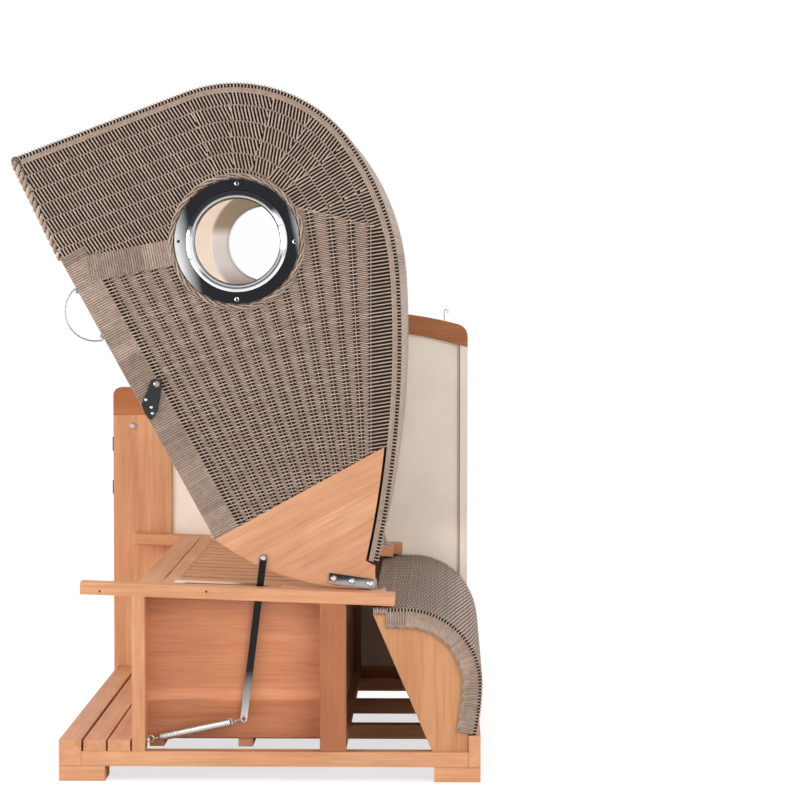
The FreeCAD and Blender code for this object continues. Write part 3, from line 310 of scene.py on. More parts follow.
def timber(name, along, tones, turn=(0, 0, 0), stripes=None):
    """Oiled wood with its grain along one axis; stripes are tones by height, with a wandering edge."""
    material, tree = finish(name)
    pale, mid, deep = tones
    figure_scale, fibre_scale = [9.0] * 3, [190.0] * 3
    axis = "XYZ".index(along)
    figure_scale[axis], fibre_scale[axis] = 0.75, 5.0
    figure = noise(tree, placed(tree, figure_scale, turn), 3.2, 5, 0.6, 0.7)
    colour = ramp(tree, figure, [(0.26, deep), (0.48, mid), (0.72, pale)])
    fibre = noise(tree, placed(tree, fibre_scale, turn), 1.6, 3, 0.6)
    colour = tinted(tree, colour, fibre, [(0.32, (0.66, 0.56, 0.48)), (0.54, WHITE)], 0.45)
    patches = noise(tree, placed(tree), 7.0, 2)
    colour = tinted(tree, colour, patches, [(0.35, (0.90, 0.86, 0.83)), (0.65, WHITE)], 0.8)
    if stripes:
        wander = noise(tree, placed(tree, (4, 4, 0.01)), 1.7, 1)
        height = maths(tree, "MULTIPLY_ADD", wander, 0.022, parts_of(tree, placed(tree))["Z"])
        colour = tinted(tree, colour, height, stripes)
    return coat(material, Base_Color=colour, Roughness=ranged(tree, fibre, 0.40, 0.60),
                Normal=bump(tree, fibre, 0.18, 0.0006))


def strand_finish(name, deep, mid, pale):
    """Woven strand: each strand has its own shade, finely mottled."""
    material, tree = finish(name)
    shade = add(tree, "ShaderNodeAttribute", attribute_name="shade").outputs["Fac"]
    colour = ramp(tree, shade, [(0.0, deep), (0.5, mid), (1.0, pale)])
    mottle = noise(tree, placed(tree), 60.0, 4, 0.6)
    colour = tinted(tree, colour, mottle, [(0.32, (0.70, 0.66, 0.63)), (0.62, WHITE)], 0.7)
    return coat(material, Base_Color=colour, Roughness=0.52, Specular_IOR_Level=0.2,
                Normal=bump(tree, noise(tree, placed(tree), 900.0, 2), 0.25, 0.0004))


def strand_core(name, roughness, scale, deep, pale):
    """The plain ground that strands lie on, darkened so the gaps between strands read as shade: painted
    shade.
    """
    material, tree = finish(name)
    tone = ramp(tree, noise(tree, placed(tree), scale), [(0.3, deep), (0.7, pale)])
    return coat(material, Base_Color=tone, Roughness=roughness)


def cloth(name, pale, deep):
    """Plain-woven lining fabric."""
    material, tree = finish(name)
    vector = placed(tree)
    colour = ramp(tree, noise(tree, vector, 9.0, 3), [(0.35, deep), (0.62, pale)])
    threads = 0.0
    for axis in "XYZ":
        wave = add(tree, "ShaderNodeTexWave", bands_direction=axis, Vector=vector, Scale=260.0,
                   Distortion=0.6)
        threads = maths(tree, "ADD", threads, wave.outputs["Fac"])
    colour = tinted(tree, colour, threads, [(0.2, (0.90, 0.88, 0.86)), (1.0, WHITE)])
    return coat(material, Base_Color=colour, Roughness=0.85, Sheen_Weight=0.25,
                Normal=bump(tree, threads, 0.2, 0.0005))


def metal(name, colour, rough_low, rough_high):
    """Bare or plated metal with uneven gloss."""
    material, tree = finish(name)
    vector = placed(tree)
    tone = ramp(tree, noise(tree, vector, 5.0), [(0.3, [share * 0.86 for share in colour]), (0.7, colour)])
    gloss = ranged(tree, noise(tree, vector, 22.0, 3), rough_low, rough_high)
    return coat(material, Base_Color=tone, Roughness=gloss, Metallic=1.0)


def round_porthole(tree, turn=0.0):
    """Distances across, up and out from the porthole's middle, across and up being turned."""
    parts = parts_of(tree, placed(tree, turn=(turn, 0, 0), place=(0, *PORTHOLE)))
    across, up = parts["Y"], parts["Z"]
    square = maths(tree, "MULTIPLY", across, across)
    return across, up, maths(tree, "SQRT", maths(tree, "MULTIPLY_ADD", up, up, square))


RING_TURN = math.radians(12)
BEAD_START, BEAD_CREST, BEAD_END = 0.1018, 0.1090, 0.1140
BEAD_EDGE = 0.0003
# Painted reflection tones for the ring's bead
REFLECTED_DARK, REFLECTED_BRIGHT = (0.035, 0.035, 0.040), (0.86, 0.86, 0.87)


def ring_chrome(name):
    """Plated metal whose sides fall away, with a painted reflection on its bead: dark above, dark below on
    its inner half and bright at the sides.
    """
    material, tree = finish(name)
    across, up, out = round_porthole(tree, RING_TURN)
    square = maths(tree, "MULTIPLY", across, across)
    fall = maths(tree, "MULTIPLY", maths(tree, "MULTIPLY", square, square), 27.0)
    form = maths(tree, "MULTIPLY_ADD", up, 0.12, maths(tree, "MULTIPLY_ADD", across, -0.026, fall))
    # The bead's colour by height round the porthole is a painted reflection
    height = maths(tree, "MULTIPLY_ADD", maths(tree, "DIVIDE", up, out), 0.5, 0.5)
    inner = ramp(tree, height, [(0.24, REFLECTED_DARK), (0.31, REFLECTED_BRIGHT), (0.66, REFLECTED_BRIGHT), (0.76, REFLECTED_DARK)])
    outer = ramp(tree, height, [(0.62, REFLECTED_BRIGHT), (0.76, REFLECTED_DARK)])
    crest = ramp(tree, out, [(BEAD_CREST - BEAD_EDGE, BLACK), (BEAD_CREST + BEAD_EDGE, WHITE)])
    bead = blend_colours(tree, "MIX", crest, inner, outer)
    patches = noise(tree, placed(tree), 12.0)
    plain = ramp(tree, patches, [(0.3, (0.78, 0.78, 0.79)), (0.7, (0.88, 0.88, 0.89))])
    beside = ramp(tree, out, [(BEAD_START - BEAD_EDGE, WHITE), (BEAD_START, BLACK),
                              (BEAD_END, BLACK), (BEAD_END + BEAD_EDGE, WHITE)])
    return coat(material, Base_Color=blend_colours(tree, "MIX", beside, bead, plain), Roughness=0.045,
                Metallic=1.0, Normal=bump(tree, form, 1.0, 0.46, sunk=True))


def ring_steel(name):
    """Brushed metal with a painted reflection, brownish above and below the porthole's middle and bright
    across it, with a dark lip.
    """
    material, tree = finish(name)
    up, out = round_porthole(tree)[1:]
    # Painted reflection: brownish above and below, bright just about the porthole's middle
    tone = ramp(tree, maths(tree, "ADD", up, 0.5),
                [(0.39, (0.40, 0.35, 0.33)), (0.44, (0.88, 0.88, 0.93)), (0.52, (0.96, 0.96, 1.0)),
                 (0.545, (0.42, 0.36, 0.28)), (0.61, (0.37, 0.31, 0.24))])
    tone = tinted(tree, tone, out, [(0.0995, grey(0.36)), (0.1010, WHITE)])
    tone = tinted(tree, tone, noise(tree, placed(tree), 5.0), [(0.3, grey(0.88)), (0.7, WHITE)])
    return coat(material, Base_Color=tone, Roughness=0.33, Metallic=0.55)


def lacquer(name, colour):
    """Glossy black coating with faint orange peel."""
    material, tree = finish(name)
    vector = placed(tree)
    tone = ramp(tree, noise(tree, vector, 30.0), [(0.3, colour), (0.8, [share * 2.2 for share in colour])])
    return coat(material, Base_Color=tone, Roughness=0.18, Coat_Weight=0.6, Coat_Roughness=0.08,
                Normal=bump(tree, noise(tree, vector, 250.0, 2), 0.05, 0.0003))


def graded_steel(name, stops):
    """Flat steel that darkens from its foot upwards."""
    material, tree = finish(name)
    tone = ramp(tree, parts_of(tree, placed(tree))["Z"], stops)
    wear = noise(tree, placed(tree, (300, 300, 12)), 2.0)
    tone = tinted(tree, tone, wear, [(0.35, grey(0.72)), (0.65, WHITE)], 0.8)
    return coat(material, Base_Color=tone, Roughness=0.25, Metallic=1.0)


def clear_pane(name):
    """A clear sheet that shows little more than its gloss."""
    return coat(finish(name)[0], Base_Color=(0.97, 0.98, 0.98, 1), Roughness=0.02, Transmission_Weight=1.0,
                IOR=1.05, Alpha=0.22)


# Wood tones are pale, middle and deep
TEAK = ((0.69, 0.362, 0.192), (0.61, 0.295, 0.145), (0.51, 0.222, 0.100))
RAIL = ((0.49, 0.178, 0.055), (0.42, 0.142, 0.042), (0.34, 0.105, 0.030))
SHADED = ((0.62, 0.26, 0.125), (0.56, 0.215, 0.095), (0.47, 0.165, 0.068))
# A darker copy of the teak for the rear posts and back rail: painted shade
POST_SHADED = ((0.42, 0.150, 0.056), (0.375, 0.127, 0.046), (0.31, 0.098, 0.033))
BRACKET = ((0.60, 0.30, 0.140), (0.53, 0.245, 0.105), (0.44, 0.185, 0.073))
QUARTER = ((0.635, 0.335, 0.186), (0.56, 0.274, 0.140), (0.47, 0.206, 0.096))
BOARD_STRIPES = [(0.186, (0.80, 0.72, 0.66)), (0.190, grey(1.12)),
                 (0.210, grey(1.12)), (0.213, (0.97, 0.95, 0.94))]
LEVER_TONES = [(0.13, (0.75, 0.73, 0.71)), (0.20, (0.36, 0.35, 0.34)), (0.245, grey(0.03))]
strap_low, strap_high = (corner.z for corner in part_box("pivot_straps"))
strap_middle = (strap_low + strap_high) / 2
# Painted reflection on the pivot straps: light on the lower half, dark on the upper half
STRAP_REFLECTION_TONES = [(strap_low, (0.62, 0.62, 0.63)), (strap_middle - 0.002, (0.50, 0.50, 0.51)),
               (strap_middle + 0.004, (0.06, 0.06, 0.065)), (strap_high, grey(0.03))]

wicker = strand_finish("wicker_strand", (0.31, 0.222, 0.173), (0.42, 0.308, 0.245), (0.52, 0.395, 0.318))
binding = strand_finish("wicker_binding", (0.24, 0.170, 0.132), (0.36, 0.268, 0.213), (0.46, 0.352, 0.286))
# Near-black ground: painted shade that shows through the gaps between strands
shadow = strand_core("wicker_core_painted_shade", 0.9, 80.0, (0.006, 0.004, 0.003), (0.016, 0.011, 0.009))
# Binding tone for the wrapped rims and bar, darkened so the gaps between wraps read as shade: partly the
# binding's colour, partly painted shade
binding_core_shaded = strand_core("binding_core_shaded", 0.7, 120.0, (0.10, 0.072, 0.057), (0.16, 0.118, 0.094))
lining = cloth("cream_lining", (0.88, 0.780, 0.670), (0.84, 0.735, 0.625))
piping = cloth("cream_piping", (0.78, 0.67, 0.54), (0.70, 0.59, 0.465))
chrome = metal("chrome_plate", (0.80, 0.80, 0.81), 0.05, 0.12)
zinc = metal("zinc_steel", (0.62, 0.61, 0.60), 0.22, 0.36)
bright_zinc = metal("bright_zinc", (0.80, 0.79, 0.78), 0.14, 0.26)


def paint(names, material):
    for name in names.split():
        nodes[name].data.materials.clear()
        nodes[name].data.materials.append(material)


EASED_WIDTH = 0.0016
EASED_ANGLE = math.radians(35)
WELD_REACH = 0.00002


def ease(names):
    """Round the edges of squared nodes a little, on top of their own meshes."""
    for name in names.split():
        weld = nodes[name].modifiers.new("weld", "WELD")
        weld.merge_threshold = WELD_REACH
        bevel = nodes[name].modifiers.new("eased_edges", "BEVEL")
        bevel.width = EASED_WIDTH
        bevel.segments = 2
        bevel.limit_method = "ANGLE"
        bevel.angle_limit = EASED_ANGLE
        bevel.use_clamp_overlap = True
        even = nodes[name].modifiers.new("even_shading", "WEIGHTED_NORMAL")
        even.weight = 100


ACROSS = ("front_board rear_board floor_slats seat_front_panel seat_rear_panel "
          "deck_front_rail deck_rear_rail lid_rails")
LENGTHWISE = "runners near_batten far_batten deck_side_rails lid_slats panel_bottom_rail feet"
UPRIGHT = "front_posts panel_front_stile panel_rear_stile"
POSTS = "rear_posts back_rail"
ease(" ".join((ACROSS, LENGTHWISE, UPRIGHT, POSTS, "side_boards skirt_brackets")))
paint(ACROSS, timber("teak_along_x", "X", TEAK))
paint(LENGTHWISE + " lid_ledgers", timber("teak_along_y", "Y", TEAK))
paint(UPRIGHT, timber("teak_along_z", "Z", TEAK))
# The rear posts and back rail take the darker teak as painted shade
paint(POSTS, timber("teak_rear_posts_shaded", "Z", POST_SHADED))
paint("side_boards", timber("teak_boards", "Y", SHADED, stripes=BOARD_STRIPES))
paint("skirt_brackets", timber("teak_brackets", "Z", BRACKET))
paint("quarter_panels", timber("teak_quarter_panel", "Y", QUARTER, turn=(RIM_LEAN, 0, 0)))
paint("panel_top_rail", timber("teak_arched_rail", "Y", RAIL))
# The woven sheets and bands under the strands are painted near-black, as painted shade in the gaps
paint("roof_weave near_cheek_weave far_cheek_weave rear_skirt panel_weave binding_bands", shadow)
paint("front_rims roof_front_bar", binding_core_shaded)
paint("porthole_inner_rings", ring_steel("brushed_steel"))
paint("porthole_rings", ring_chrome("porthole_chrome"))
# The straps' two tones are a painted reflection
paint("pivot_straps", graded_steel("strap_steel", STRAP_REFLECTION_TONES))
paint("porthole_screws pivot_pins hood_bolts panel_bolt slot_plates latch_bolts", chrome)
paint("pivot_lugs spring_eyes near_spring_tail far_spring_tail bail_lugs panel_hanger", zinc)
paint("near_bail far_bail", metal("bail_steel", (0.46, 0.45, 0.44), 0.34, 0.46))
paint("near_latch far_latch panel_edge_plates", lacquer("black_lacquer", grey(0.006)))
paint("spring_levers", graded_steel("lever_steel", LEVER_TONES))
paint("porthole_panes", clear_pane("clear_pane"))


# Strands

def put(name, data):
    """An object with its data, put into the scene."""
    thing = bpy.data.objects.new(name, data)
    bpy.context.collection.objects.link(thing)
    return thing


def strand_tree():
    """A tree that sweeps a flattened round section along every path of a mesh, and its inputs' names."""
    tree = bpy.data.node_groups.new("strand_sweep", "GeometryNodeTree")
    sockets = {}
    for name, kind in (("Geometry", "Geometry"), ("Width", "Float"), ("Thickness", "Float"),
                       ("Sides", "Int"), ("Finish", "Material")):
        socket = tree.interface.new_socket(name, in_out="INPUT", socket_type="NodeSocket" + kind)
        sockets[name] = socket.identifier
    tree.interface.new_socket("Geometry", in_out="OUTPUT", socket_type="NodeSocketGeometry")
    start = add(tree, "NodeGroupInput").outputs
    paths = add(tree, "GeometryNodeMeshToCurve", Mesh=start["Geometry"])
    lie = add(tree, "GeometryNodeInputNamedAttribute", data_type="FLOAT_VECTOR", Name="lie")
    facing = add(tree, "GeometryNodeSetCurveNormal", mode="FREE", Curve=paths.outputs["Curve"],
                 Normal=lie.outputs["Attribute"])
    section = add(tree, "GeometryNodeCurvePrimitiveCircle", mode="RADIUS", Radius=0.5,
                  Resolution=start["Sides"])
    flat = add(tree, "ShaderNodeCombineXYZ", X=start["Thickness"], Y=start["Width"], Z=1.0)
    flatten = add(tree, "GeometryNodeTransform", Geometry=section.outputs["Curve"],
                  Scale=flat.outputs["Vector"])
    sweep = add(tree, "GeometryNodeCurveToMesh", Curve=facing.outputs["Curve"],
                **{"Profile Curve": flatten.outputs["Geometry"], "Fill Caps": True})
    smooth = add(tree, "GeometryNodeSetShadeSmooth", Geometry=sweep.outputs["Mesh"])
    realize = add(tree, "GeometryNodeRealizeInstances", Geometry=smooth.outputs["Geometry"])
    finished = add(tree, "GeometryNodeSetMaterial", Geometry=realize.outputs["Geometry"],
                   Material=start["Finish"])
    add(tree, "NodeGroupOutput", Geometry=finished.outputs["Geometry"])
    return tree, sockets


SWEEP, SWEEP_INPUTS = strand_tree()


class Strands:
    """Paths that are to be swept into strands, each with the way it lies and its shade."""

    def __init__(self):
        self.points, self.lies, self.shades, self.edges = [], [], [], []

    def add(self, points, lies, shade=None, closed=False):
        """Add a path that lies one way, or one way at each point; its shade is random if none is given."""
        first = len(self.points)
        points = [Vector(point) for point in points]
        if isinstance(lies, Vector):
            lies = [lies] * len(points)
        shade = random.uniform(0.3, 0.8) if shade is None else shade
        self.points += points
        self.lies += lies
        self.shades += [shade] * len(points)
        last = first + len(points) - 1
        self.edges += [(index, index + 1) for index in range(first, last)]
        if closed:
            self.edges.append((last, first))

    def swept(self, name, width, thickness, sides, material):
        """The strands as one plain mesh object."""
        mesh = bpy.data.meshes.new(name)
        mesh.from_pydata(self.points, self.edges, [])
        lie = mesh.attributes.new("lie", "FLOAT_VECTOR", "POINT")
        lie.data.foreach_set("vector", np.array([tuple(way) for way in self.lies], np.float32).ravel())
        shade = mesh.attributes.new("shade", "FLOAT", "POINT")
        shade.data.foreach_set("value", np.array(self.shades, np.float32))
        maker = put(name + "_paths", mesh)
        modifier = maker.modifiers.new("sweep", "NODES")
        modifier.node_group = SWEEP
        values = {"Width": width, "Thickness": thickness, "Sides": sides, "Finish": material}
        for entry, value in values.items():
            modifier[SWEEP_INPUTS[entry]] = value
        depsgraph = bpy.context.evaluated_depsgraph_get()
        result = bpy.data.meshes.new_from_object(maker.evaluated_get(depsgraph), depsgraph=depsgraph)
        bpy.data.objects.remove(maker)
        result.name = name
        return put(name, result)


def settle(piece, body, slot, *replaced):
    """Let a finished piece ride on its body and hide the parts that it replaces."""
    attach(piece, body)
    if replaced:
        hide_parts(*replaced)


def lay(strands, name, section, material, body, slot):
    """Sweep strands with a (width, thickness, sides) section and settle them."""
    settle(strands.swept(name, *section, material), body, slot)


# Cheeks

CHEEK_TUCK = 0.008
CHEEK = cheek_outline(EDGE_BAND - 0.003, CHEEK_TUCK, 0.004)
PORTHOLE_CLEAR = 0.151
BAND_WAY = bearing(BAND_PITCH)
BAND_RUN = BAND_LENGTH * BAND_WAY
BAND_TOP = rim_point(BAND_DROP, RIM_WIDTH)
BAND_FOOT = rim_point(BAND_DROP + BAND_WIDTH, RIM_WIDTH)
SEAM_TURN = 22.5
CROWN_RADIUS, CROWN_TURN = HOOD_BENDS[0]
NAPE_RADIUS = HOOD_BENDS[1][0]
SEAM_DISTANCE = bent_length(ROOF_RUN, ((CROWN_RADIUS, CROWN_TURN), (NAPE_RADIUS, SEAM_TURN)))
SEAM = hood_point(SEAM_DISTANCE)
SEAM_HEAD = np.array([0.118, 1.294])
STRAND_REST = HOOD_FACE + 0.0006
STRAND_WAVE = 0.0026

# The upper weave ends on the first line and the lower weave on the second, both a little under the band
TUCK = np.array([0, 0.007])
UPPER_LINE = np.array([rim_point(CHEEK_TUCK, 0), rim_point(CHEEK_TUCK, RIM_WIDTH), BAND_TOP - TUCK,
                       BAND_TOP - TUCK + BAND_RUN, PORTHOLE, SEAM_HEAD - TUCK / 2, SEAM - TUCK / 2])
LOWER_LINE = np.array([BAND_FOOT + TUCK, BAND_FOOT + TUCK + BAND_RUN, PORTHOLE,
                       SEAM_HEAD + TUCK / 2, SEAM + TUCK / 2])

# The upper weave: gussets are a radius, a turn and each strip's tilt, in degrees
UPPER_ROWS = 13
UPPER_START = 0.012
UPPER_STAKE = 0.036
UPPER_SPACING = 0.0077
UPPER_TILT = math.radians(13)
UPPER_REACH = 0.57
GUSSETS = ((CROWN_RADIUS, CROWN_TURN, (16, 20, 16, 6)), (NAPE_RADIUS, SEAM_TURN, (0, 0)))
LAP = 0.0015

# The lower weave: rows turn from the first slope to the second, and wave by a power that changes with height
LOWER_PITCH = 0.00413
LOWER_STAKES = 16
STAKE_INSET = RIM_WIDTH + 0.012
STAKE_SPREAD = 1.06
STAKE_LEVEL = -0.15
ROW_SLOPES = np.tan(np.radians([17.5, 9.0]))
ROW_TURN = (0.06, 0.20)
WAVE_POWER = ((0.80, 1.10), (0.45, 1.6))


def line_height(line, points):
    """The height of a line above or below each point."""
    return np.interp(points[:, 0], line[:, 0], line[:, 1])


def on_cheek(points):
    """Which points lie on the cheek, outside the porthole's braid."""
    return inside(CHEEK, points) & (np.hypot(*(points - PORTHOLE).T) > PORTHOLE_CLEAR)


def kept(points, waves, mask, stride):
    """The kept stretches of a finely measured strand, thinned to a stride but with their true ends."""
    for start, end in runs(mask):
        picks = sorted({start, end - 1, *range(-(-start // stride) * stride, end, stride)})
        yield points[picks], waves[picks]


def row_strand(spot, middle, held):
    """Stretches of one strand over a single row, its ends under the rows beside it."""
    steps = np.linspace(-UPPER_REACH, UPPER_REACH, 31) * UPPER_STAKE
    points = np.array([spot(middle + step) for step in steps])
    mask = on_cheek(points) & (points[:, 1] > line_height(UPPER_LINE, points)) & held(points)
    waves = np.clip(3.0 * np.cos(math.pi * steps / (0.86 * UPPER_STAKE)), -1, 1)
    return kept(points, waves, mask, 5)


def roof_row(row, middle):
    """Leaning strands of one row under the straight of the roof."""
    lean = math.tan(UPPER_TILT)
    found = []

    def held(points):
        return (points - hood_point(0)) @ bearing(ROOF_PITCH) < ROOF_RUN + LAP

    first = -0.12 + row % 2 * UPPER_SPACING / 2
    for distance in np.arange(first, ROOF_RUN, UPPER_SPACING / math.cos(UPPER_TILT)):
        found += row_strand(lambda inset: hood_point(distance + inset * lean, inset), middle, held)
    return found


def gusset_row(row, middle, centre, radius, half, tilt):
    """Parallel strands of one row in a wedge of a bend, half being half its turn."""
    hub = hood_point(centre, radius)
    out = (hood_point(centre) - hub) / radius
    cosine, sine = math.cos(tilt), math.sin(tilt)
    way = np.array([cosine * out[0] - sine * out[1], sine * out[0] + cosine * out[1]])
    reach = int((radius - middle + UPPER_STAKE) * math.sin(half + tilt) / UPPER_SPACING) + 1
    found = []

    def held(points):
        away = points - hub
        return np.abs(away @ [out[1], -out[0]]) < away @ out * math.tan(half) + LAP

    for sweep in (np.arange(-reach, reach + 1) + row % 2 / 2) * UPPER_SPACING:

        def spot(inset):
            rise = math.sqrt(max(max(radius - inset, 0) ** 2 - sweep ** 2, 0))
            return hub + sweep * np.array([way[1], -way[0]]) + rise * way

        found += row_strand(spot, middle, held)
    return found


def upper_stretches():
    """Rows of leaning strands under the roof line, and round the crown in gussets of parallel strands."""
    found = []
    for row in range(UPPER_ROWS):
        middle = UPPER_START + (row + 0.5) * UPPER_STAKE
        found += roof_row(row, middle)
        start = ROOF_RUN
        for radius, turn, tilts in GUSSETS:
            half = math.radians(turn) / len(tilts) / 2
            for number, tilt in enumerate(tilts):
                centre = start + radius * half * (2 * number + 1)
                found += gusset_row(row, middle, centre, radius, half, math.radians(tilt))
            start += radius * math.radians(turn)
    return found


def lower_stretches():
    """Rows that climb towards the back, and the stakes that they go round, which fan out upwards."""
    head, foot = rim_point(0.03, STAKE_INSET), rim_point(RIM_LENGTH, STAKE_INSET)
    rear_head = hood_point(SEAM_DISTANCE, EDGE_BAND + 0.030)
    rear_foot = QUARTER_CORNER - np.array([0.030, 0.016])
    share = np.linspace(0, 1, LOWER_STAKES)[:, None]
    tops = head + share ** STAKE_SPREAD * (rear_head - head)
    falls = foot + share * (rear_foot - foot) - tops
    trail = np.linspace(-0.40, 0.56, 961)
    climb = np.cumsum(np.interp(trail, ROW_TURN, ROW_SLOPES)) * (trail[1] - trail[0])
    rows, stakes = [], []

    def held(points):
        return on_cheek(points) & (points[:, 1] < line_height(LOWER_LINE, points))

    for number, height in enumerate(np.arange(0.44, 1.16, LOWER_PITCH)):
        points = np.stack([trail, height + climb], 1)
        away = points[None] - tops[:, None]
        beyond = falls[:, :1] * away[..., 1] - falls[:, 1:] * away[..., 0] > 0
        crossings = trail[np.argmax(beyond, axis=1)]
        turns = np.cos(math.pi * (np.interp(trail, crossings, np.arange(LOWER_STAKES)) + number))
        waves = np.sign(turns) * np.abs(turns) ** np.interp(points[:, 1], *WAVE_POWER)
        rows += kept(points, waves, held(points), 6)
    for top, fall in zip(tops, falls):
        points = top + np.linspace(-0.3, 1.1, 400)[:, None] * fall
        stakes += kept(points, np.full(len(points), STAKE_LEVEL), held(points), 40)
    return rows, stakes


def laid(stretches, side):
    """Stretches laid on a cheek, waved in and out."""
    strands = Strands()
    for points, waves in stretches:
        levels = STRAND_REST + STRAND_WAVE * waves
        strands.add([(side_x(side, out), *point) for out, point in zip(levels, points)], outward(side))
    return strands


lower_rows, lower_stakes = lower_stretches()
cheek_weaves = (
    ("_cheek_upper_strands", upper_stretches(), (0.0036, 0.0032, 6)),
    ("_cheek_lower_strands", lower_rows, (0.0033, 0.0032, 6)),
    ("_cheek_stakes", lower_stakes, (0.0020, 0.0030, 6)),
)
for word, side in SIDES:
    for name, stretches, section in cheek_weaves:
        lay(laid(stretches, side), word + name, section, wicker, "hood", "wicker")


# Roof and back

CROSS_REST = 0.0001
CROSS_WAVE = 0.0018
CROSS_STEEP = 1.6
CROSS_SHORT = 0.008
FOLD_REACH = 0.004
PROBE = 0.01


def cross_strands(point_at, distances, face, stakes, fold):
    """Strands laid across a bent sheet; fold gives each strand's turns at the sides as (inset, out) steps."""
    strands = Strands()
    for number, distance in enumerate(distances):
        outer = point_at(distance)
        way = (outer - point_at(distance, PROBE)) / PROBE
        up = Vector((0, *way))
        line = []
        for step in range(2 * stakes + 1):
            wave = max(-1, min(1, CROSS_STEEP * math.cos(math.pi * (step / 2 + number))))
            lift = CROSS_REST + CROSS_WAVE * wave
            line.append((MIDDLE + face * (step / stakes - 1), *(outer + lift * way)))
        lies = [up] * len(line)
        steps = fold(number, distance)
        for side, end in ((1, -1), (-1, 0)):
            if not steps:
                line[end] = (side_x(side, face - CROSS_SHORT), *line[end][1:])
            turns, turn_lies = [], []
            for inset, out in steps:
                turns.append((side_x(side, face + out), *(outer - inset * way)))
                lean = min(1.0, max(0.0, inset / FOLD_REACH + 0.5))
                turn_lies.append((up * (1 - lean) + outward(side) * lean).normalized())
            if side > 0:
                line, lies = line + turns, lies + turn_lies
            else:
                line, lies = turns[::-1] + line, turn_lies[::-1] + lies
        strands.add(line, lies)
    return strands


def roof_fold(number, distance):
    """Every other strand turns over the edge as a tooth."""
    if number % 2:
        return []
    return [(-0.0012, 0.0012), (0.0012, 0.0022), (0.0085, 0.0016)]


ROOF_STAKES = 26
roof_distances = np.arange(0.003, HOOD_LENGTH - 0.002, 0.0039)
# An even count, so that teeth and waves carry on over the join
half_way = len(roof_distances) // 4 * 2
for word, distances in (("roof", roof_distances[:half_way]), ("back", roof_distances[half_way:])):
    crossing = cross_strands(hood_point, distances, EDGE_FACE, ROOF_STAKES, roof_fold)
    lay(crossing, word + "_strands", (0.0031, 0.0030, 5), wicker, "hood", "wicker")

borders, gap_shade_cords = Strands(), Strands()
for side in (1, -1):
    for inset in (0.0104, 0.0144, 0.0182):
        trail = trail_of(hood_point, 0.002, HOOD_LENGTH - 0.002, 130, inset)
        borders.add(on_side(side, EDGE_FACE + 0.0008, trail), outward(side), 0.45)
    # Near-black cords in the gap along the quarter panel's rear edge: painted shade
    trail = trail_of(hood_point, CHEEK_LENGTH - 0.004, HOOD_LENGTH - 0.004, 24, 0.023)
    gap_shade_cords.add(on_side(side, HOOD_FACE - 0.006, trail), outward(side), 0.0)
lay(borders, "edge_borders", (0.0044, 0.0028, 6), binding, "hood", "binding")
lay(gap_shade_cords, "gap_shade_cords", (0.0062, 0.0040, 6), shadow, "hood", "binding")


# Wrapped rims and bands

WRAP_PITCH = 0.0056
WRAP_COVER = 0.0006
WRAP_CORNER = 0.003


def wrap(strands, origin, along, across, out, length, wide, thick, corner=WRAP_CORNER):
    """Strands laid round a flat bar, one turn for each pitch, in tones that hold for a few turns."""
    ring = []
    for turn in range(4):
        middle = turn * math.pi / 2 + math.pi / 4
        centre_across = math.copysign(wide / 2 - corner, math.cos(middle))
        centre_out = math.copysign(thick / 2 - corner, math.sin(middle))
        for angle in np.linspace(middle - math.pi / 4, middle + math.pi / 4, 4):
            cosine, sine = math.cos(angle), math.sin(angle)
            place = across * (centre_across + corner * cosine) + out * (centre_out + corner * sine)
            ring.append((place, (across * cosine + out * sine).normalized()))
    lies = [lie for place, lie in ring]
    left = 0
    for number in range(int(length / WRAP_PITCH)):
        if left == 0:
            tone, left = random.uniform(0.15, 0.8), random.randint(4, 12)
        left -= 1
        start = origin + along * (WRAP_PITCH * (number + 0.5))
        points = [start + place for place, lie in ring]
        strands.add(points, lies, tone + random.uniform(-0.12, 0.12), closed=True)


def flat_vector(pair):
    """A step of the side plane, in space."""
    return Vector((0, *pair))


rims = Strands()
along = flat_vector(rim_point(1, 0) - rim_point(0, 0))
across = flat_vector(rim_point(0, 1) - rim_point(0, 0))
for side in (1, -1):
    start = Vector((side_x(side, RIM_FACE - RIM_THICKNESS / 2), *rim_point(0, RIM_WIDTH / 2)))
    wrap(rims, start, along, across, outward(side),
         RIM_LENGTH + 0.008, RIM_WIDTH + WRAP_COVER, RIM_THICKNESS + WRAP_COVER)
lay(rims, "rim_binding", (0.0051, 0.0022, 5), binding, "hood", "binding")

bands = Strands()
band_start = (BAND_TOP + BAND_FOOT) / 2 - 0.018 * BAND_WAY
across = flat_vector((-BAND_WAY[1], BAND_WAY[0]))
for side in (1, -1):
    start = Vector((side_x(side, HOOD_FACE + 0.0016), *band_start))
    wrap(bands, start, flat_vector(BAND_WAY), across, outward(side),
         BAND_LENGTH + 0.024, BAND_WIDTH + WRAP_COVER, 0.0072)
lay(bands, "band_binding", (0.0053, 0.0022, 5), binding, "hood", "binding")

bar = Strands()
bar_low, bar_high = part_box("roof_front_bar")
bar_middle = (bar_low + bar_high) / 2
BAR_WIDTH = 0.0184
wrap(bar, Vector((bar_low.x, bar_middle.y, bar_middle.z)), outward(1), Vector((0, 1, 0)), Vector((0, 0, 1)),
     bar_high.x - bar_low.x, BAR_WIDTH, BAR_WIDTH, 0.009)
lay(bar, "front_bar_binding", (0.0056, 0.0024, 5), binding, "hood", "binding")


# Braided edges

BRAID_CORDS = 3
BRAID_STEPS = 8
BRAID_FLATNESS = 0.75


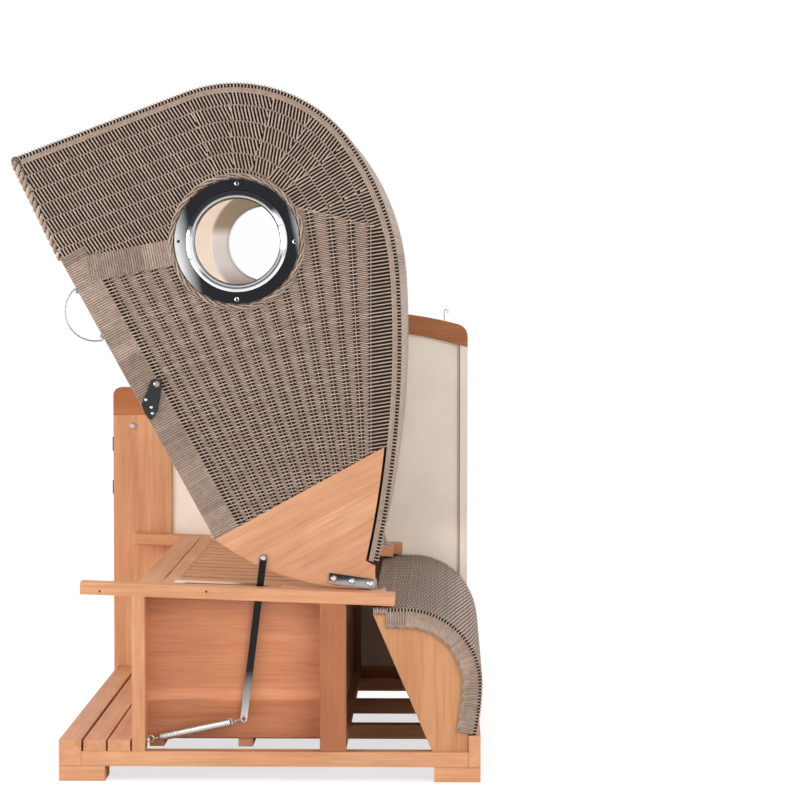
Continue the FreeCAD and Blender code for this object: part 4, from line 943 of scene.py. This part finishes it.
def braid(strands, side, out, trail, radius, pitch, closed=False):
    """Cords twisted together along a trail on one side."""
    points = [Vector(point) for point in on_side(side, out, trail)]
    normal = outward(side)
    lengths = [0.0]
    for before, here in zip(points, points[1:]):
        lengths.append(lengths[-1] + (here - before).length)
    whole = lengths[-1]
    turns = max(1, round(whole / pitch)) if closed else whole / pitch
    steps = int(whole / (pitch / BRAID_STEPS))
    for cord in range(BRAID_CORDS):
        line, lies = [], []
        for step in range(steps if closed else steps + 1):
            at = whole * step / steps
            index = min(int(np.searchsorted(lengths, at, side="right")) - 1, len(points) - 2)
            share = (at - lengths[index]) / (lengths[index + 1] - lengths[index])
            aside = (points[index + 1] - points[index]).normalized().cross(normal)
            angle = 2 * math.pi * (turns * at / whole + cord / BRAID_CORDS)
            offset = normal * math.cos(angle) * radius * BRAID_FLATNESS + aside * math.sin(angle) * radius
            line.append(points[index].lerp(points[index + 1], share) + offset)
            lies.append(offset.normalized())
        strands.add(line, lies, 0.35 + 0.25 * cord, closed=closed)


porthole_braids, plaits = Strands(), Strands()
plait_tip = ROOF_TIP + np.array([0.010, -0.004])
plait_trail = [plait_tip + share * (rim_point(0, 0.004) - plait_tip) for share in np.linspace(0, 1, 12)]
for side in (1, -1):
    braid(porthole_braids, side, HOOD_FACE + 0.0040, circle(0.1495, 96), 0.0040, 0.085, closed=True)
    braid(plaits, side, HOOD_FACE - 0.009, plait_trail, 0.0090, 0.052)
lay(porthole_braids, "porthole_braids", (0.0056, 0.0044, 6), binding, "hood", "binding")
lay(plaits, "edge_plaits", (0.0110, 0.0085, 8), binding, "hood", "binding")


# Skirt behind the seat

SKIRT_STAKES = 32
SKIRT_BAND_START = 0.031


def skirt_fold(number, distance):
    """Strands fold over onto the bands at the sides; every other one dives under at the corner."""
    if distance < SKIRT_BAND_START:
        return [(0.0015, 0.0010), (0.0110, 0.0010)]
    corner = [(0.0010, -0.0030), (0.0065, -0.0010)] if number % 2 else [(0.0008, 0.0016), (0.0055, 0.0018)]
    return corner + [(0.0110, 0.0012), (0.0400, 0.0012)]


skirt_distances = np.arange(0.003, SKIRT_LENGTH - 0.002, 0.0037)
skirt = cross_strands(skirt_point, skirt_distances, SKIRT_FACE, SKIRT_STAKES, skirt_fold)
lay(skirt, "skirt_strands", (0.0030, 0.0028, 5), wicker, "base", "wicker")
skirt_braids = Strands()
skirt_trail = trail_of(skirt_point, SKIRT_BAND_START, SKIRT_LENGTH, 50, 0.0405)
for side in (1, -1):
    braid(skirt_braids, side, SKIRT_FACE - 0.0005, skirt_trail, 0.0030, 0.022)
lay(skirt_braids, "skirt_braids", (0.0042, 0.0036, 6), binding, "base", "binding")


# Cut cloth and other meshes

LINING_THICKNESS = 0.003


def shown(name, mesh, material, smooth=False):
    """A mesh with one material, put into the scene."""
    mesh.materials.append(material)
    if smooth:
        for face in mesh.polygons:
            face.use_smooth = True
    return put(name, mesh)


def formed(name, form, material, smooth=False):
    """A finished edit mesh, put into the scene."""
    mesh = bpy.data.meshes.new(name)
    form.to_mesh(mesh)
    form.free()
    return shown(name, mesh, material, smooth)


def thicken(piece, thickness):
    """Give a sheet its thickness, half of it to each side."""
    body = piece.modifiers.new("cloth_thickness", "SOLIDIFY")
    body.thickness = thickness
    body.offset = 0


def flat_sheet(name, x, thickness, *loops):
    """A flat cut of lining in the side plane, inside its first loop and outside the others, and its area."""
    form = bmesh.new()
    for loop in loops:
        corners = [form.verts.new((x, *point)) for point in loop]
        for index, corner in enumerate(corners):
            form.edges.new((corner, corners[index - 1]))
    bmesh.ops.triangle_fill(form, use_beauty=True, edges=form.edges[:])
    bmesh.ops.recalc_face_normals(form, faces=form.faces[:])
    area = sum(face.calc_area() for face in form.faces)
    piece = formed(name, form, lining)
    thicken(piece, thickness)
    return piece, area


# Far side panel

def arch_rise(across):
    """How high the arched rail stands at a distance from its crest, which is at 0."""
    return math.sqrt(RAIL_ARCH ** 2 - across ** 2) - RAIL_ARCH


def panel_field():
    """The outline of the lining and weave inside the far panel's frame."""
    radius, turn = RAIL_SWEEP
    points = [np.array([PANEL_FRONT, PANEL_FOOT]), np.array([PANEL_FRONT, RAIL_START[1]])]
    angles = np.linspace(0, turn, 16)
    steps = [radius * np.array([math.sin(angle), 1 - math.cos(angle)]) for angle in angles]
    points += [RAIL_START + step for step in steps]
    crest = RAIL_START + 2 * (points[-1] - RAIL_START)
    points += [crest - step for step in steps[-2::-1]]
    for across in np.linspace(0, PANEL_REAR - crest[0], 14)[1:]:
        points.append(crest + np.array([across, arch_rise(across)]))
    points.append(np.array([PANEL_REAR, PANEL_FOOT]))
    return np.array(points)


FIELD = panel_field()
CREST = FIELD[np.argmax(FIELD[:, 1])]
STILE = np.array([(PANEL_REAR, PANEL_FOOT), (STILE_REAR, PANEL_FOOT)]
                 + [(place, CREST[1] + arch_rise(place - CREST[0]) - 0.0005)
                    for place in np.linspace(STILE_REAR, PANEL_REAR, 5)])

panel_cloth, panel_area = flat_sheet("panel_lining_cloth", PANEL_INNER - 0.008, LINING_THICKNESS, FIELD)
settle(panel_cloth, "base", "lining", "panel_lining")
stile_cloth, stile_area = flat_sheet("stile_cloth", PANEL_INNER + 0.0010, 0.0015, STILE)
settle(stile_cloth, "base", "lining")

PIPING_INSET = 0.004
cords = Strands()
trim = [point - np.array([0, PIPING_INSET]) for point in FIELD[1:-1]]
trim[-1] = trim[-1] - np.array([PIPING_INSET, 0])
trim.append(FIELD[-1] + np.array([-PIPING_INSET, PIPING_INSET]))
cords.add([(PANEL_INNER - 0.006, *point) for point in trim], outward(1), 0.5)
lay(cords, "panel_piping", (0.006, 0.006, 8), piping, "base", "lining")

PANEL_REST = PANEL_OUTER + 0.0052
PANEL_WAVE = 0.0020
PANEL_STAKE = 0.034
PANEL_PITCH = 0.0046


def panel_strands():
    """Level strands round upright stakes on the outer face of the far panel."""
    strands = Strands()
    across = np.arange(-0.29, 0.50, PANEL_STAKE / 2)
    for number, height in enumerate(np.arange(0.098, 0.996, PANEL_PITCH)):
        points = np.stack([across, np.full(len(across), height)], 1)
        for start, end in runs(inside(FIELD, points)):
            waves = [math.cos(math.pi * (step / 2 + number)) for step in range(start, end)]
            line = [(PANEL_REST - PANEL_WAVE * wave, *point) for wave, point in zip(waves, points[start:end])]
            strands.add(line, outward(-1))
    return strands


lay(panel_strands(), "panel_strands", (0.0049, 0.0030, 5), wicker, "base", "wicker")


# Hood linings

ROOF_LINING_HALF = 0.5232
ROOF_LINING_INSET = 0.0165


def roof_cloth():
    """The lining under the roof and down the back, and its flat size."""
    distances = np.concatenate([np.linspace(0.002, ROOF_RUN, 8)[:-1], np.linspace(ROOF_RUN, HOOD_LENGTH, 60)])
    path = [hood_point(distance, ROOF_LINING_INSET) for distance in distances]
    columns = np.linspace(-ROOF_LINING_HALF, ROOF_LINING_HALF, 13)
    points = [(MIDDLE + across, *spot) for spot in path for across in columns]
    wide = len(columns)
    corners = [row * wide + column for row in range(len(path) - 1) for column in range(wide - 1)]
    faces = [(corner, corner + 1, corner + wide + 1, corner + wide) for corner in corners]
    mesh = bpy.data.meshes.new("roof_lining_cloth")
    mesh.from_pydata(points, [], faces)
    piece = shown("roof_lining_cloth", mesh, lining, smooth=True)
    thicken(piece, LINING_THICKNESS)
    length = sum(float(np.linalg.norm(here - before)) for before, here in zip(path, path[1:]))
    return piece, (2 * ROOF_LINING_HALF, length)


roof_lining_piece, roof_flat = roof_cloth()
settle(roof_lining_piece, "hood", "lining", "roof_lining")

cheek_cut = cheek_outline(0.0190)
hole = circle(PORTHOLE_HOLE, 64)[:-1]
seam_trail = trail_of(hood_point, 0.004, CHEEK_LENGTH, 80, 0.0205)
seams = Strands()
for word, side in SIDES:
    name = word + "_cheek_lining_cloth"
    piece, area = flat_sheet(name, side_x(side, 0.5225), LINING_THICKNESS, cheek_cut, hole)
    settle(piece, "hood", "lining", "cheek_linings")
    seams.add(on_side(side, 0.5195, seam_trail), outward(-side), 0.5)
lay(seams, "hood_piping", (0.0055, 0.0055, 7), piping, "hood", "lining")


# Springs

COIL_START, COIL_END = 0.0275, SPRING_SPAN - 0.0285
COIL_MARGIN = 0.0012
COIL_RADIUS = 0.0084
COIL_TURNS = 49
COIL_STEPS = 18
SPRING_SHADE = 0.6

# The hook's wire as (along, aside), then its bow round the eye; the plug's outline as (along, radius)
HOOK = ((0.0255, 0.0), (0.0215, 0.0), (0.0190, 0.0009), (0.0165, 0.0030), (0.0140, 0.0046),
        (0.0125, 0.005), (0.010, 0.005))
HOOK_BOW = 0.005
HOOK_LOOP = 0.0075
HOOK_END = 0.0125
PLUG = ((0.0228, 0.0), (0.0228, 0.0080), (0.0236, 0.0096), (0.0262, 0.0096), (0.0270, 0.0084),
        (0.0276, 0.0064), (0.0276, 0.0))
PLUG_SIDES = 24


def spring_spot(side, along, aside=0.0, up=0.0):
    """A point in a spring's own directions: along it from the eye, aside towards the open side, and up."""
    cosine, sine = math.cos(SPRING_ANGLE), math.sin(SPRING_ANGLE)
    return Vector((side_x(side, SPRING_EYE[0] + aside),
                   SPRING_EYE[1] + along * cosine - up * sine,
                   SPRING_EYE[2] + along * sine + up * cosine))


def spring_coil(side, word):
    """A winding that stretches between the spring's two ends."""
    count = COIL_TURNS * COIL_STEPS
    length = COIL_END - COIL_START - 2 * COIL_MARGIN
    line, lies = [], []
    for step in range(count + 1):
        angle = 2 * math.pi * step / COIL_STEPS
        aside, up = math.sin(angle), math.cos(angle)
        along = COIL_START + COIL_MARGIN + length * step / count
        lies.append(spring_spot(side, 0, aside, up) - spring_spot(side, 0))
        line.append(spring_spot(side, along, COIL_RADIUS * aside, COIL_RADIUS * up))
    coil = Strands()
    coil.add(line, lies, SPRING_SHADE)
    piece = coil.swept(word + "_spring_winding", 0.0031, 0.0031, 8, bright_zinc)
    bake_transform(piece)
    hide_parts(word + "_spring_coil")


def spring_hook(side, word):
    """The wire from the coil round the eye."""
    line = [spring_spot(side, along, aside) for along, aside in HOOK]
    for angle in np.linspace(0, math.pi, 13):
        line.append(spring_spot(side, HOOK_LOOP - HOOK_BOW * math.sin(angle), HOOK_BOW * math.cos(angle)))
    line.append(spring_spot(side, HOOK_END, -HOOK_BOW))
    hook = Strands()
    hook.add(line, spring_spot(side, 0, 0, 1) - spring_spot(side, 0), SPRING_SHADE)
    lay(hook, word + "_spring_hook", (0.003, 0.003, 10), zinc, word + "_spring", "steel")


def spring_plug(side, word):
    """The turned plug in the coil's end at the eye."""
    form = bmesh.new()
    rings = []
    for along, radius in PLUG:
        angles = np.linspace(0, 2 * math.pi, PLUG_SIDES + 1)[:-1] if radius else [0.0]
        spots = [spring_spot(side, along, *(radius * bearing(angle))) for angle in angles]
        rings.append([form.verts.new(spot) for spot in spots])
    for first, second in zip(rings, rings[1:]):
        for index in range(PLUG_SIDES):
            after = index + 1
            corners = [first[index % len(first)], first[after % len(first)],
                       second[after % len(second)], second[index % len(second)]]
            form.faces.new(list(dict.fromkeys(corners)))
    bmesh.ops.recalc_face_normals(form, faces=form.faces[:])
    settle(formed(word + "_spring_plug", form, zinc, smooth=True), word + "_spring", "steel")


for word, side in SIDES:
    spring_coil(side, word)
    spring_hook(side, word)
    spring_plug(side, word)


# Latch rivets

RIVETS = ((-0.0246, -0.0357), (-0.0123, -0.0529), (-0.0098, -0.0665))
RIVET_FACE = 0.5505
RIVET_RADIUS = 0.0034
RIVET_FORM = Matrix.Diagonal((0.5, 1, 1, 1))
for word, side in SIDES:
    form = bmesh.new()
    for rivet in RIVETS:
        seat = Matrix.Translation((side_x(side, RIVET_FACE), *(LATCH_PIVOT + rivet)))
        bmesh.ops.create_uvsphere(form, u_segments=16, v_segments=8, radius=RIVET_RADIUS,
                                  matrix=seat @ RIVET_FORM)
    settle(formed(word + "_latch_rivets", form, chrome, smooth=True), word + "_latch", "chrome")


# Floor, light and camera

FLOOR_REACH = 30


def floor():
    """A pale floor that looks nearly white to the camera."""
    corners = [(x * FLOOR_REACH, y * FLOOR_REACH, 0) for x, y in ((-1, -1), (1, -1), (1, 1), (-1, 1))]
    mesh = bpy.data.meshes.new("studio_floor")
    mesh.from_pydata(corners, [], [(0, 1, 2, 3)])
    material, tree = finish("studio_floor")
    seen = add(tree, "ShaderNodeLightPath").outputs["Is Camera Ray"]
    coat(material, Base_Color=ramp(tree, seen, [(0.0, grey(0.90)), (1.0, grey(0.32))]), Roughness=0.9,
         Emission_Color=(*WHITE, 1), Emission_Strength=ranged(tree, seen, 0.0, 0.70))
    shown("studio_floor", mesh, material)


def lamp(name, place, target, size, power):
    """A square lamp that faces its target."""
    light = bpy.data.lights.new(name, "AREA")
    light.energy = power
    light.size = size
    holder = put(name, light)
    holder.location = place
    holder.rotation_euler = (Vector(target) - Vector(place)).to_track_quat("-Z", "Y").to_euler()


def surroundings():
    """White all round, dimmer for diffuse light, with a dark card that only reflections show."""
    world = bpy.data.worlds.new("studio")
    bpy.context.scene.world = world
    world.use_nodes = True
    tree = world.node_tree
    background = tree.nodes["Background"].inputs
    rays = add(tree, "ShaderNodeLightPath").outputs
    clear_rays = maths(tree, "MAXIMUM", rays["Is Glossy Ray"], rays["Is Transmission Ray"])
    seen = maths(tree, "MAXIMUM", rays["Is Camera Ray"], clear_rays)
    feed(tree, background["Strength"], ranged(tree, seen, 0.80, 1.0))
    direction = parts_of(tree, add(tree, "ShaderNodeTexCoord").outputs["Generated"])
    aside = maths(tree, "ABSOLUTE", maths(tree, "ADD", direction["Y"], 0.06))
    card_width = ramp(tree, aside, [(0.16, (0.03, 0.03, 0.035)), (0.30, WHITE)])
    card_depth = ramp(tree, direction["X"], [(0.25, WHITE), (0.45, BLACK)])
    card = blend_colours(tree, "LIGHTEN", 1.0, card_width, card_depth)
    feed(tree, background["Color"], blend_colours(tree, "MIX", rays["Is Glossy Ray"], (*WHITE, 1), card))


CENTRE = (0, 0, 0.8)
floor()
lamp("key_light", (4.2, -3.6, 4.2), CENTRE, size=3.0, power=45)
lamp("fill_light", (4.5, 3.4, 2.6), CENTRE, size=3.5, power=120)
lamp("front_light", (1.7, -4.2, 1.3), (-0.4, -0.1, 1.1), size=2.0, power=130)
lamp("back_light", (-3.5, 2.5, 4.0), CENTRE, size=3.0, power=60)
surroundings()

YAW, PITCH, ROLL = -0.0152743, -0.0492206, 0.00119
camera_data = bpy.data.cameras.new("photo_camera")
camera_data.sensor_width = 36
camera_data.lens = 132.277
camera = put("photo_camera", camera_data)
forward = Vector((-math.cos(PITCH) * math.cos(YAW), math.cos(PITCH) * math.sin(YAW), math.sin(PITCH)))
camera.rotation_mode = "QUATERNION"
camera.rotation_quaternion = forward.to_track_quat("-Z", "Y") @ Matrix.Rotation(ROLL, 3, "Z").to_quaternion()
camera.location = (7.20991, 0.448657, 1.188731)
bpy.context.scene.camera = camera
bpy.context.scene.view_settings.view_transform = "Standard"
